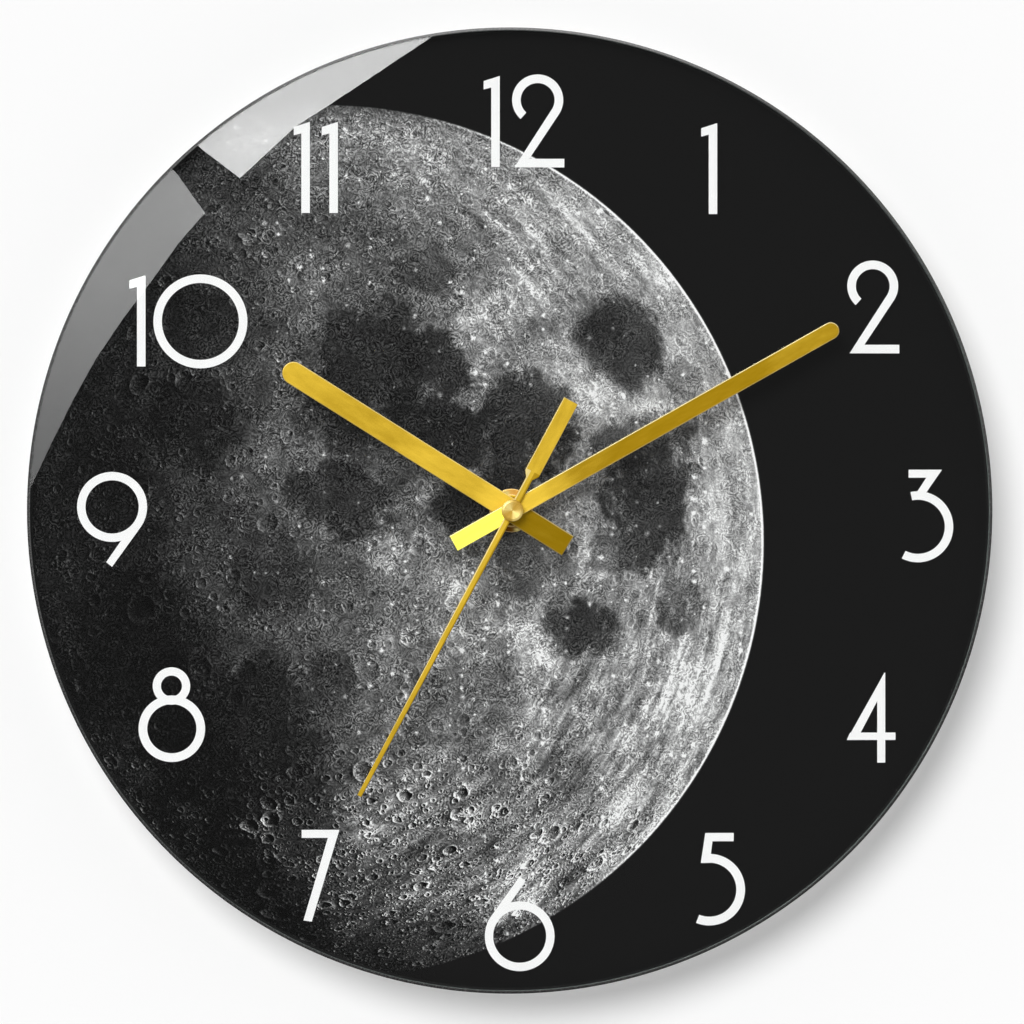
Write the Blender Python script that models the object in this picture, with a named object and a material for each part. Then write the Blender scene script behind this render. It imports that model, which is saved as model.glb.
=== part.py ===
"""Frameless glass wall clock with a quartz movement behind its dial.

The dial faces -Y, +Z is up and +X is to the right of someone who reads the clock. The origin is on the
wall, at the top of the hanger's eye, where a nail carries the clock. Outlines are in millimetres from the
axis of the hands, a depth counts millimetres from the wall to the reader, and angles count degrees
clockwise from twelve, as the reader sees them.
"""

import math

import bmesh
import bpy

MM = 0.001

# Fits, and how far a cutter runs past what it cuts
SEAT_GAP = 0.3
PRESS_GAP = 0.06
RUN_GAP = 0.08
TUBE_GAP = 0.1
CUT_OVERRUN = 1.0

# Rounds: how many sides stand in for a circle
DIAL_SIDES = 120
NUT_SIDES = 40
ROUND_SIDES = 24
SMALL_SIDES = 16
PIN_SIDES = 12
CORNER_STEPS = 3
SHARP_ANGLE = 30

# Glass dial
DIAL_DIAMETER = 300.0
GLASS_THICKNESS = 4.0
GLASS_CHAMFER = 0.7
FILM_THICKNESS = 0.3
FILM_MARGIN = 0.9
WASHER_DIAMETER = 24.0
WASHER_THICKNESS = 1.0

# Round nut and threaded bushing
THREAD_DIAMETER = 8.0
THREAD_CLEARANCE = 0.6
NUT_DIAMETER = 13.55
NUT_FLANGE_THICKNESS = 1.0
NUT_COLLAR_DIAMETER = 9.8
NUT_COLLAR_HEIGHT = 1.1
NUT_EDGE = 0.25
BUSHING_FLANGE_DIAMETER = 11.2
BUSHING_FLANGE_THICKNESS = 0.5

# Hands, each length counted from the axis
HOUR_ANGLE = 302.19
HOUR_WIDTH = 7.05
HOUR_REACH = 83.4
HOUR_TAIL = 20.6
MINUTE_ANGLE = 60.61
MINUTE_WIDTH = 5.35
MINUTE_REACH = 116.3
MINUTE_TAIL = 20.8
SECONDS_ANGLE = 208.2
SECONDS_ROOT_WIDTH = 2.2
SECONDS_TIP_WIDTH = 1.45
SECONDS_REACH = 100.2
SECONDS_TAIL = 38.6
PADDLE_WIDTH = 4.9
PADDLE_START = 13.0
PADDLE_SHOULDER = 1.8
SECONDS_HUB_DIAMETER = 5.6
HAND_THICKNESS = 0.5
SECONDS_THICKNESS = 0.4
HAND_BEVEL = 0.15
CAP_DIAMETER = 6.8
CAP_HEIGHT = 1.2
CAP_HOLLOW = 0.25
CAP_RIM = 0.35
COLLET_WALL = 0.4
COLLET_FLANGE = 0.4
COLLET_FLANGE_THICKNESS = 0.4
TUBE_PROUD = 0.2

# Shafts and tubes
SECONDS_ARBOR_DIAMETER = 1.0
MINUTE_TUBE_DIAMETER = 3.5
HOUR_TUBE_DIAMETER = 5.0
PIVOT_DIAMETER = 0.8
SLEEVE_DIAMETER = 4.0
SLEEVE_LIP = 0.3
BEARING_DIAMETER = 5.6
SETTING_ARBOR_DIAMETER = 2.4
SETTING_PIVOT_DIAMETER = 1.6
ARBOR_HUB_DIAMETER = 2.6
ROTOR_SEAT_DIAMETER = 2.2

# Movement case, which is as wide as its cell and as high as its coil, its train and its cell
CASE_DEPTH = 16.0
CASE_WALL = 1.2
CASE_FRONT_WALL = 1.0
CASE_CORNER = 3.0
POCKET_CORNER = 1.5
COVER_THICKNESS = 1.2
POST_DIAMETER = 4.0
POST_INSET = 5.3
COVER_POST_DIAMETER = 3.0
PIVOT_BOSS_DIAMETER = 3.0
PIVOT_BOSS_END = 3.9
PIVOT_HOLE_DEPTH = 1.7
SETTING_BOSS_DIAMETER = 3.8
GEAR_ROOM = 1.2
COIL_ROOM = 1.6

# Battery and its bay
CELL_DIAMETER = 14.2
CELL_LENGTH = 50.5
CELL_NUB_DIAMETER = 5.5
CELL_NUB_HEIGHT = 1.0
CELL_EDGE = 0.5
BAY_WALL = 1.0
CONTACT_ROOM = 1.55
CONTACT_THICKNESS = 0.35
CONTACT_DEPTH = 7.0
CONTACT_FOOT = 5.0
CONTACT_BEND = 3.0
CONTACT_RISE = 4.0

# Setting knob
KNOB_DIAMETER = 12.4
KNOB_THICKNESS = 2.1
KNOB_RECESS = 0.4
KNOB_RIBS = 24
WELL_CLEARANCE = 0.4
WELL_WALL = 0.8
WELL_FLOOR = 0.8

# Gear train: teeth, then distances between axes, then bearings of one axis from the last
ROTOR_PINION_TEETH = 6
FIFTH_WHEEL_TEETH = 36
FIFTH_PINION_TEETH = 6
SECONDS_WHEEL_TEETH = 30
SECONDS_PINION_TEETH = 8
THIRD_WHEEL_TEETH = 64
THIRD_PINION_TEETH = 6
CENTRE_WHEEL_TEETH = 45
CANNON_PINION_TEETH = 12
MINUTE_WHEEL_TEETH = 36
MINUTE_PINION_TEETH = 10
HOUR_WHEEL_TEETH = 40
TRAIN_SPACING = 8.4
ROTOR_SPACING = 5.6
MOTION_SPACING = 9.6
FIFTH_BEARING = 10.0
ROTOR_BEARING = 340.0
THIRD_BEARING = 105.0
MINUTE_WHEEL_BEARING = 285.0
WHEEL_THICKNESS = 0.7
PINION_OVERHANG = 0.25
WHEEL_GAP = 0.4
TOOTH_TIP_SHARE = 0.2
TOOTH_ROOT_SHARE = 0.52
ADDENDUM = 0.8
DEDENDUM = 1.1

# Motor
MAGNET_DIAMETER = 5.2
MAGNET_THICKNESS = 1.6
STATOR_THICKNESS = 0.8
STATOR_BORE = 6.2
STATOR_ARM = 7.2
STATOR_MARGIN = 8.3
STATOR_LEG = 3.6
STATOR_DEPTH = 7.7
COIL_GAP = 1.7
COIL_END_GAP = 1.1
BOBBIN_FLANGE_DIAMETER = 7.4
BOBBIN_FLANGE_THICKNESS = 1.2
BOBBIN_CORE_DIAMETER = 3.6
BOBBIN_BORE = 2.6
WINDING_DIAMETER = 6.6
CORE_WIDTH = 1.8
CORE_END_WIDTH = 3.2
CORE_END_LENGTH = 3.2
CORE_THICKNESS = 0.8
PEG_DIAMETER = 1.4

# Middle plate and circuit board
PLATE_THICKNESS = 0.9
PLATE_MARGIN = 2.4
PLATE_CORNER = 1.5
WINDOW_MARGIN = 0.7
WINDOW_CORNER = 0.8
BOSS_WALL = 0.9
BOARD_WIDTH = 12.8
BOARD_HEIGHT = 18.0
BOARD_THICKNESS = 0.8
BOARD_DEPTH = 7.0
BOARD_MARGIN = 1.0
BOARD_PEG_HEIGHT = 6.0
BOARD_PEG_INSET = 4.2
CHIP_DIAMETER = 5.0
CHIP_HEIGHT = 1.1
CHIP_UP = -3.0
CHIP_STEPS = 4
CRYSTAL_DIAMETER = 2.0
CRYSTAL_LENGTH = 6.2
CRYSTAL_EDGE = 0.25
CRYSTAL_LEFT = 5.0
CLUTCH_THICKNESS = 0.3
CLUTCH_WALL = 0.5

# Hanger
HANGER_THICKNESS = 2.5
HANGER_TAB_WIDTH = 22.0
HANGER_TAB_HEIGHT = 2.5
HANGER_NECK_WIDTH = 16.0
HANGER_BASE_WIDTH = 21.0
HANGER_TOP_WIDTH = 14.0
HANGER_SHOULDER = 4.5
HANGER_RISE = 11.5
HANGER_CORNER = 2.0
HANGER_CORNER_TURN = 60
EYE_WIDTH = 10.0
EYE_HEIGHT = 5.6
EYE_CORNER = 2.0
EYE_TOP_WALL = 3.0


def polar(distance, bearing):
    """The point at this distance and bearing from the hands' axis."""
    angle = math.radians(bearing)
    return distance * math.sin(angle), distance * math.cos(angle)


def pair_module(first_teeth, second_teeth, spacing):
    """The module that puts two meshing gears this far apart."""
    return 2 * spacing / (first_teeth + second_teeth)


# Axes that stand beside the hands' axis
HANDS_AXIS = (0.0, 0.0)
FIFTH_AXIS = polar(TRAIN_SPACING, FIFTH_BEARING)
ROTOR_STEP = polar(ROTOR_SPACING, ROTOR_BEARING)
ROTOR_AXIS = (FIFTH_AXIS[0] + ROTOR_STEP[0], FIFTH_AXIS[1] + ROTOR_STEP[1])
THIRD_AXIS = polar(TRAIN_SPACING, THIRD_BEARING)
MINUTE_WHEEL_AXIS = polar(MOTION_SPACING, MINUTE_WHEEL_BEARING)

# Gear bay, from under the train to over the coil
THIRD_MODULE = pair_module(SECONDS_PINION_TEETH, THIRD_WHEEL_TEETH, TRAIN_SPACING)
THIRD_WHEEL_RADIUS = THIRD_MODULE * (THIRD_WHEEL_TEETH / 2 + ADDENDUM)
GEAR_BAY_BOTTOM = THIRD_AXIS[1] - THIRD_WHEEL_RADIUS - GEAR_ROOM
COIL_UP = ROTOR_AXIS[1] + (MAGNET_DIAMETER + BOBBIN_FLANGE_DIAMETER) / 2 + COIL_GAP
GEAR_BAY_TOP = COIL_UP + BOBBIN_FLANGE_DIAMETER / 2 + COIL_ROOM

# Battery bay under it, and the case round both
BAY_TOP = GEAR_BAY_BOTTOM - BAY_WALL
CELL_AXIS_UP = BAY_TOP - SEAT_GAP - CELL_DIAMETER / 2
BAY_BOTTOM = CELL_AXIS_UP - CELL_DIAMETER / 2 - SEAT_GAP
BAY_HALF_WIDTH = CELL_LENGTH / 2 + CONTACT_ROOM
CASE_HALF_WIDTH = BAY_HALF_WIDTH + CASE_WALL
CASE_TOP = GEAR_BAY_TOP + CASE_WALL
CASE_BOTTOM = BAY_BOTTOM - CASE_WALL

# Across the case: the stator's span, the bobbin between its legs, and the board's left edge
STATOR_SPAN = 2 * (BAY_HALF_WIDTH - STATOR_MARGIN)
BOBBIN_LENGTH = STATOR_SPAN - 2 * (CORE_END_LENGTH + COIL_END_GAP)
BOARD_LEFT = BOARD_MARGIN - BAY_HALF_WIDTH

# Heights of the nail and of the hanger's top above the hands' axis
HANGER_ROOF = CASE_TOP + SEAT_GAP
HANGER_TOP = HANGER_ROOF + HANGER_RISE
NAIL_UP = HANGER_TOP - EYE_TOP_WALL

# Depths of the stack in front of the case
WASHER_BACK = CASE_DEPTH + SEAT_GAP
FILM_BACK = WASHER_BACK + WASHER_THICKNESS + SEAT_GAP
GLASS_BACK = FILM_BACK + FILM_THICKNESS + SEAT_GAP
GLASS_FRONT = GLASS_BACK + GLASS_THICKNESS
NUT_BACK = GLASS_FRONT + SEAT_GAP
NUT_FRONT = NUT_BACK + NUT_FLANGE_THICKNESS + NUT_COLLAR_HEIGHT
HOUR_COLLET_BACK = NUT_FRONT + SEAT_GAP
HOUR_HAND_BACK = HOUR_COLLET_BACK + COLLET_FLANGE_THICKNESS + SEAT_GAP
HOUR_TUBE_FRONT = HOUR_HAND_BACK + HAND_THICKNESS + 2 * TUBE_PROUD
MINUTE_COLLET_BACK = HOUR_TUBE_FRONT + SEAT_GAP
MINUTE_HAND_BACK = MINUTE_COLLET_BACK + COLLET_FLANGE_THICKNESS + SEAT_GAP
MINUTE_TUBE_FRONT = MINUTE_HAND_BACK + HAND_THICKNESS + 2 * TUBE_PROUD
SECONDS_PIPE_BACK = MINUTE_TUBE_FRONT + SEAT_GAP
SECONDS_HAND_BACK = SECONDS_PIPE_BACK + TUBE_PROUD
CAP_BACK = SECONDS_HAND_BACK + SECONDS_THICKNESS + SEAT_GAP
CAP_FRONT = CAP_BACK + CAP_HEIGHT
ARBOR_FRONT = CAP_BACK + CAP_HEIGHT / 2

# Depths inside the case, from the cover to the front wall
CASE_BACK = COVER_THICKNESS + SEAT_GAP
CASE_FLOOR = CASE_DEPTH - CASE_FRONT_WALL
PIVOT_BACK = PIVOT_BOSS_END - PIVOT_HOLE_DEPTH + SEAT_GAP
SECONDS_WHEEL_BACK = PIVOT_BOSS_END + WHEEL_GAP
FIFTH_WHEEL_BACK = SECONDS_WHEEL_BACK + WHEEL_THICKNESS + WHEEL_GAP
THIRD_WHEEL_BACK = FIFTH_WHEEL_BACK + WHEEL_THICKNESS + WHEEL_GAP
CENTRE_WHEEL_BACK = STATOR_DEPTH + STATOR_THICKNESS + PINION_OVERHANG
CLUTCH_BACK = CENTRE_WHEEL_BACK + WHEEL_THICKNESS + SEAT_GAP
PLATE_BACK = CLUTCH_BACK + CLUTCH_THICKNESS + SEAT_GAP
PLATE_FRONT = PLATE_BACK + PLATE_THICKNESS
MINUTE_WHEEL_BACK = PLATE_FRONT + WHEEL_GAP
CANNON_PINION_FRONT = MINUTE_WHEEL_BACK + WHEEL_THICKNESS + PINION_OVERHANG
HOUR_WHEEL_BACK = CANNON_PINION_FRONT + SEAT_GAP
HOUR_WHEEL_FRONT = HOUR_WHEEL_BACK + WHEEL_THICKNESS
SETTING_BOSS_END = HOUR_WHEEL_FRONT + PINION_OVERHANG + SEAT_GAP
WELL_FLOOR_BACK = KNOB_RECESS + KNOB_THICKNESS + SEAT_GAP
CELL_AXIS_DEPTH = CASE_FLOOR - SEAT_GAP - CELL_DIAMETER / 2
CORE_AXIS_DEPTH = STATOR_DEPTH - SEAT_GAP - CORE_THICKNESS / 2


# Outlines across the hands' axis, as lists of (x, z) in millimetres


def circle(diameter, sides, centre=HANDS_AXIS):
    """A round outline."""
    points = []
    for step in range(sides):
        x, z = polar(diameter / 2, 360 * step / sides)
        points.append((x + centre[0], z + centre[1]))
    return points


def rectangle(left, right, bottom, top, corner):
    """An upright rectangle with round corners."""
    points = []
    middles = (
        (right - corner, top - corner, 0),
        (right - corner, bottom + corner, 90),
        (left + corner, bottom + corner, 180),
        (left + corner, top - corner, 270),
    )
    for x_mid, z_mid, start in middles:
        for step in range(CORNER_STEPS + 1):
            x, z = polar(corner, start + 90 * step / CORNER_STEPS)
            points.append((x_mid + x, z_mid + z))
    return points


def gear(teeth, module, tooth_bearing):
    """Straight-flanked teeth, one of them pointing at tooth_bearing."""
    pitch_radius = teeth * module / 2
    tip_radius = pitch_radius + ADDENDUM * module
    root_radius = pitch_radius - DEDENDUM * module
    step = 360 / teeth
    root_turn = TOOTH_ROOT_SHARE * step / 2
    tip_turn = TOOTH_TIP_SHARE * step / 2
    points = []
    for tooth in range(teeth):
        middle = tooth_bearing + tooth * step
        points.append(polar(root_radius, middle - root_turn))
        points.append(polar(tip_radius, middle - tip_turn))
        points.append(polar(tip_radius, middle + tip_turn))
        points.append(polar(root_radius, middle + root_turn))
    return points


def meshing(teeth, module, bearing_to_mate, faces_gap):
    """A gear that turns a tooth, or with faces_gap the space between two teeth, to its mate."""
    half_step = 180 / teeth if faces_gap else 0.0
    return gear(teeth, module, bearing_to_mate + half_step)


def bar(width, reach, tail, inset=0.0):
    """A straight hand along +Z with a round tip and a square tail."""
    half = width / 2 - inset
    middle = reach - width / 2
    points = [(half, inset - tail), (-half, inset - tail)]
    steps = 10
    for step in range(steps + 1):
        x, z = polar(half, 270 + 180 * step / steps)
        points.append((x, middle + z))
    return points


def seconds_outline(inset=0.0):
    """The seconds hand along +Z: a tapered needle, a round hub, and a paddle behind it."""
    hub = SECONDS_HUB_DIAMETER / 2 - inset
    root = SECONDS_ROOT_WIDTH / 2 - inset
    tip = SECONDS_TIP_WIDTH / 2 - inset
    paddle = PADDLE_WIDTH / 2 - inset
    start = math.degrees(math.asin(root / hub))
    right = [(tip, SECONDS_REACH - inset)]
    steps = 8
    for step in range(steps + 1):
        right.append(polar(hub, start + (180 - 2 * start) * step / steps))
    right.append((root, PADDLE_SHOULDER - PADDLE_START))
    right.append((paddle, -PADDLE_START - inset))
    right.append((paddle, inset - SECONDS_TAIL))
    return right + [(-x, z) for x, z in reversed(right)]


# Solids made of outlines


class Shape:
    """A closed surface built from outlines that lie across the depth axis."""

    def __init__(self):
        self.mesh = bmesh.new()

    def loop(self, outline, depth):
        """The outline's points at a depth, in millimetres until the shape is finished."""
        return [self.mesh.verts.new((x, -depth, z)) for x, z in outline]

    def wall(self, first, second):
        """Faces between two loops with as many points."""
        for index in range(len(first)):
            after = (index + 1) % len(first)
            self.mesh.faces.new((first[index], first[after], second[after], second[index]))

    def flat(self, *loops):
        """The flat face inside the first loop, less what the others hold."""
        edges = []
        for loop in loops:
            for index, point in enumerate(loop):
                after = loop[(index + 1) % len(loop)]
                edges.append(self.mesh.edges.get((point, after)) or self.mesh.edges.new((point, after)))
        bmesh.ops.triangle_fill(self.mesh, use_beauty=True, edges=edges)

    def tube(self, outline, start, end):
        """A wall that keeps its outline from one depth to another, given back as its two loops."""
        first, second = self.loop(outline, start), self.loop(outline, end)
        self.wall(first, second)
        return first, second

    def rise(self, *levels):
        """A wall through (depth, outline) levels. Two levels at one depth make a flat step."""
        loops = []
        last_depth = None
        for depth, outline in levels:
            loops.append(self.loop(outline, depth))
            if last_depth is not None:
                join = self.flat if depth == last_depth else self.wall
                join(loops[-2], loops[-1])
            last_depth = depth
        return loops[0], loops[-1]

    def finish(self, name):
        """The surface as a mesh with its faces pointing out."""
        bmesh.ops.recalc_face_normals(self.mesh, faces=self.mesh.faces[:])
        bmesh.ops.scale(self.mesh, vec=(MM, MM, MM), verts=self.mesh.verts[:])
        mesh = bpy.data.meshes.new(name)
        self.mesh.to_mesh(mesh)
        self.mesh.free()
        mesh.shade_smooth()
        mesh.set_sharp_from_angle(angle=math.radians(SHARP_ANGLE))
        return mesh


def turned(levels, sides, bore=()):
    """A turned solid from (depth, diameter) levels. A bore has levels of its own, and where it
    stops short of an end of the solid it is blind there."""
    shape = Shape()
    back, front = shape.rise(*[(depth, circle(size, sides)) for depth, size in levels])
    if not bore:
        shape.flat(back)
        shape.flat(front)
        return shape
    bore_sides = min(ROUND_SIDES, max(SMALL_SIDES, sides // 2))
    bore_back, bore_front = shape.rise(*[(depth, circle(size, bore_sides)) for depth, size in bore])
    if bore[0][0] == levels[0][0]:
        shape.flat(back, bore_back)
    else:
        shape.flat(back)
        shape.flat(bore_back)
    if bore[-1][0] == levels[-1][0]:
        shape.flat(front, bore_front)
    else:
        shape.flat(front)
        shape.flat(bore_front)
    return shape


def geared(levels, bore_diameter=0.0, bore_sides=SMALL_SIDES):
    """A solid from (depth, outline) levels, with a bore right through it if one is given."""
    shape = Shape()
    back, front = shape.rise(*levels)
    if bore_diameter:
        hole = circle(bore_diameter, bore_sides)
        bore_back, bore_front = shape.tube(hole, levels[0][0], levels[-1][0])
        shape.flat(back, bore_back)
        shape.flat(front, bore_front)
    else:
        shape.flat(back)
        shape.flat(front)
    return shape


# Objects and materials


def clear_scene():
    for item in list(bpy.data.objects):
        bpy.data.objects.remove(item, do_unlink=True)


def finish_material(name, colour, roughness, metallic=0.0, transmission=0.0):
    """A Principled material of one colour."""
    material = bpy.data.materials.new(name)
    material.use_nodes = True
    shader = material.node_tree.nodes["Principled BSDF"]
    shader.inputs["Base Color"].default_value = (*colour, 1.0)
    shader.inputs["Roughness"].default_value = roughness
    shader.inputs["Metallic"].default_value = metallic
    shader.inputs["Transmission Weight"].default_value = transmission
    material.diffuse_color = (*colour, 1.0)
    return material


def spot(x, depth, z):
    """Where a point given from the hands' axis lies in the frame, in metres."""
    return x * MM, -depth * MM, (z - NAIL_UP) * MM


def place(name, shape, material, axis=HANDS_AXIS, turn=0.0):
    """An object on its own axis across the dial, turned clockwise by turn degrees."""
    item = bpy.data.objects.new(name, shape.finish(name))
    item.data.materials.append(material)
    item.location = spot(axis[0], 0.0, axis[1])
    item.rotation_euler = (0.0, math.radians(turn), 0.0)
    bpy.context.collection.objects.link(item)
    return item


def cut(target, shape, name):
    """Takes a shape away from an object."""
    cutter = bpy.data.objects.new(name, shape.finish(name))
    cutter.location = target.location
    bpy.context.collection.objects.link(cutter)
    cutter.hide_render = True
    cutter.display_type = "WIRE"
    modifier = target.modifiers.new(name, "BOOLEAN")
    modifier.operation = "DIFFERENCE"
    modifier.solver = "EXACT"
    modifier.object = cutter


# Dial


def glass_dial():
    hole = THREAD_DIAMETER + 2 * THREAD_CLEARANCE
    inner = DIAL_DIAMETER - 2 * GLASS_CHAMFER
    levels = (
        (GLASS_BACK, inner),
        (GLASS_BACK + GLASS_CHAMFER, DIAL_DIAMETER),
        (GLASS_FRONT - GLASS_CHAMFER, DIAL_DIAMETER),
        (GLASS_FRONT, inner),
    )
    bore = ((GLASS_BACK, hole), (GLASS_FRONT, hole))
    material = finish_material("clear_glass", (0.9, 0.93, 0.92), 0.02, transmission=0.9)
    place("glass_dial", turned(levels, DIAL_SIDES, bore), material)


def dial_film():
    hole = THREAD_DIAMETER + 2 * THREAD_CLEARANCE
    outside = DIAL_DIAMETER - 2 * FILM_MARGIN
    ends = (FILM_BACK, FILM_BACK + FILM_THICKNESS)
    material = finish_material("printed_film", (0.012, 0.012, 0.012), 0.5)
    shape = turned([(end, outside) for end in ends], DIAL_SIDES, [(end, hole) for end in ends])
    place("dial_film", shape, material)


def rubber_washer():
    hole = THREAD_DIAMETER + 2 * SEAT_GAP
    ends = (WASHER_BACK, WASHER_BACK + WASHER_THICKNESS)
    material = finish_material("black_rubber", (0.02, 0.02, 0.02), 0.8)
    shape = turned([(end, WASHER_DIAMETER) for end in ends], NUT_SIDES, [(end, hole) for end in ends])
    place("rubber_washer", shape, material)


def round_nut():
    shelf = NUT_BACK + NUT_FLANGE_THICKNESS
    levels = (
        (NUT_BACK, NUT_DIAMETER),
        (shelf - NUT_EDGE, NUT_DIAMETER),
        (shelf, NUT_DIAMETER - 2 * NUT_EDGE),
        (shelf, NUT_COLLAR_DIAMETER),
        (NUT_FRONT - NUT_EDGE, NUT_COLLAR_DIAMETER),
        (NUT_FRONT, NUT_COLLAR_DIAMETER - 2 * NUT_EDGE),
    )
    hole = THREAD_DIAMETER + 2 * TUBE_GAP
    material = finish_material("nut_brass", (0.75, 0.36, 0.12), 0.22, metallic=1.0)
    place("round_nut", turned(levels, NUT_SIDES, ((NUT_BACK, hole), (NUT_FRONT, hole))), material)


def threaded_bushing():
    flange_front = CASE_FLOOR - SEAT_GAP
    flange_back = flange_front - BUSHING_FLANGE_THICKNESS
    levels = (
        (flange_back, BUSHING_FLANGE_DIAMETER),
        (flange_front, BUSHING_FLANGE_DIAMETER),
        (flange_front, THREAD_DIAMETER),
        (NUT_FRONT - TUBE_PROUD, THREAD_DIAMETER),
    )
    hole = HOUR_TUBE_DIAMETER + 2 * TUBE_GAP
    material = finish_material("bushing_brass", (0.62, 0.42, 0.15), 0.35, metallic=1.0)
    bore = ((flange_back, hole), (NUT_FRONT - TUBE_PROUD, hole))
    place("threaded_bushing", turned(levels, ROUND_SIDES, bore), material)


# Hands


def bar_hand(name, width, reach, tail, back, tube_diameter, angle, gold):
    """A straight hand with a bevelled face and the hole that its collet is riveted in."""
    front = back + HAND_THICKNESS
    hole = tube_diameter + 2 * (TUBE_GAP + COLLET_WALL + PRESS_GAP)
    levels = (
        (back, bar(width, reach, tail)),
        (front - HAND_BEVEL, bar(width, reach, tail)),
        (front, bar(width, reach, tail, HAND_BEVEL)),
    )
    place(name, geared(levels, hole, ROUND_SIDES), gold, turn=angle)


def hand_collet(name, tube_diameter, back, hand_back, gold):
    """The brass ring that grips a tube behind its hand and is riveted through the hand."""
    hole = tube_diameter + 2 * TUBE_GAP
    neck = hole + 2 * COLLET_WALL
    shelf = back + COLLET_FLANGE_THICKNESS
    front = hand_back + HAND_THICKNESS + TUBE_PROUD
    levels = ((back, neck + 2 * COLLET_FLANGE), (shelf, neck + 2 * COLLET_FLANGE), (shelf, neck), (front, neck))
    place(name, turned(levels, ROUND_SIDES, ((back, hole), (front, hole))), gold)


def seconds_hand(gold):
    front = SECONDS_HAND_BACK + SECONDS_THICKNESS
    levels = (
        (SECONDS_HAND_BACK, seconds_outline()),
        (front - HAND_BEVEL, seconds_outline()),
        (front, seconds_outline(HAND_BEVEL)),
    )
    hole = SECONDS_ARBOR_DIAMETER + 2 * (PRESS_GAP + COLLET_WALL + PRESS_GAP)
    place("seconds_hand", geared(levels, hole), gold, turn=SECONDS_ANGLE)


def seconds_cap(material):
    """A spun disc with a hollow face, in one piece with the pipe that grips the seconds arbor."""
    bore = SECONDS_ARBOR_DIAMETER + 2 * PRESS_GAP
    pipe = bore + 2 * COLLET_WALL
    levels = (
        (SECONDS_PIPE_BACK, pipe),
        (CAP_BACK, pipe),
        (CAP_BACK, CAP_DIAMETER - CAP_RIM),
        (CAP_BACK + CAP_RIM, CAP_DIAMETER),
        (CAP_FRONT - CAP_RIM, CAP_DIAMETER),
        (CAP_FRONT, CAP_DIAMETER - CAP_RIM),
        (CAP_FRONT - CAP_HOLLOW, CAP_RIM),
    )
    hole_end = ARBOR_FRONT + SEAT_GAP / 2
    shape = turned(levels, NUT_SIDES, ((SECONDS_PIPE_BACK, bore), (hole_end, bore)))
    place("seconds_cap", shape, material)


# Movement shell


def post_places():
    """Where the case's four posts carry the middle plate."""
    right = BAY_HALF_WIDTH - POST_INSET
    return [
        (-right, GEAR_BAY_BOTTOM + POST_INSET / 2),
        (right, GEAR_BAY_BOTTOM + POST_INSET / 2),
        (right, GEAR_BAY_TOP - POST_INSET / 2),
        (-right, GEAR_BAY_TOP - POST_INSET / 2),
    ]


def block(left, right, bottom, top, back, front):
    """A plain block."""
    shape = Shape()
    outline = ((left, bottom), (left, top), (right, top), (right, bottom))
    first, second = shape.tube(outline, back, front)
    shape.flat(first)
    shape.flat(second)
    return shape


def movement_case():
    """The front shell: a tub with a gear bay above a battery bay."""
    shape = Shape()
    outside = rectangle(-CASE_HALF_WIDTH, CASE_HALF_WIDTH, CASE_BOTTOM, CASE_TOP, CASE_CORNER)
    gear_bay = rectangle(-BAY_HALF_WIDTH, BAY_HALF_WIDTH, GEAR_BAY_BOTTOM, GEAR_BAY_TOP, POCKET_CORNER)
    battery_bay = rectangle(-BAY_HALF_WIDTH, BAY_HALF_WIDTH, BAY_BOTTOM, BAY_TOP, POCKET_CORNER)
    rim, face = shape.tube(outside, CASE_BACK, CASE_DEPTH)
    gear_rim, gear_floor = shape.tube(gear_bay, CASE_BACK, CASE_FLOOR)
    battery_rim, battery_floor = shape.tube(battery_bay, CASE_BACK, CASE_FLOOR)
    shape.flat(rim, gear_rim, battery_rim)
    shape.flat(battery_floor)
    hole = circle(THREAD_DIAMETER + 2 * SEAT_GAP, ROUND_SIDES)
    hole_back, hole_front = shape.tube(hole, CASE_FLOOR, CASE_DEPTH)
    shape.flat(face, hole_front)
    feet = []
    for centre in post_places():
        post = circle(POST_DIAMETER, PIN_SIDES, centre)
        foot, top = shape.tube(post, CASE_FLOOR, PLATE_FRONT + SEAT_GAP)
        shape.flat(top)
        feet.append(foot)
    boss = circle(SETTING_BOSS_DIAMETER, SMALL_SIDES, MINUTE_WHEEL_AXIS)
    boss_foot, boss_top = shape.tube(boss, CASE_FLOOR, SETTING_BOSS_END)
    pivot_hole = circle(SETTING_PIVOT_DIAMETER + 2 * RUN_GAP, SMALL_SIDES, MINUTE_WHEEL_AXIS)
    hole_mouth, hole_end = shape.tube(pivot_hole, SETTING_BOSS_END, CASE_FLOOR)
    shape.flat(boss_top, hole_mouth)
    shape.flat(hole_end)
    shape.flat(gear_floor, hole_back, boss_foot, *feet)
    material = finish_material("case_plastic", (0.018, 0.018, 0.019), 0.45)
    case = place("movement_case", shape, material)
    notch = HANGER_NECK_WIDTH / 2 + SEAT_GAP
    notch_front = CASE_BACK + HANGER_THICKNESS + SEAT_GAP
    low, high, back = GEAR_BAY_TOP - CUT_OVERRUN, CASE_TOP + CUT_OVERRUN, CASE_BACK - CUT_OVERRUN
    roof = block(-notch, notch, low, high, back, notch_front)
    cut(case, roof, "hanger_notch")
    contact_end = CELL_AXIS_DEPTH + CONTACT_DEPTH / 2 + SEAT_GAP
    slot_width = 2 * SEAT_GAP + CONTACT_THICKNESS
    low, high = BAY_TOP - CUT_OVERRUN, GEAR_BAY_BOTTOM + CUT_OVERRUN
    for side, left in (("left", -BAY_HALF_WIDTH), ("right", BAY_HALF_WIDTH - slot_width)):
        slot = block(left, left + slot_width, low, high, back, contact_end)
        cut(case, slot, f"contact_slot_{side}")


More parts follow.
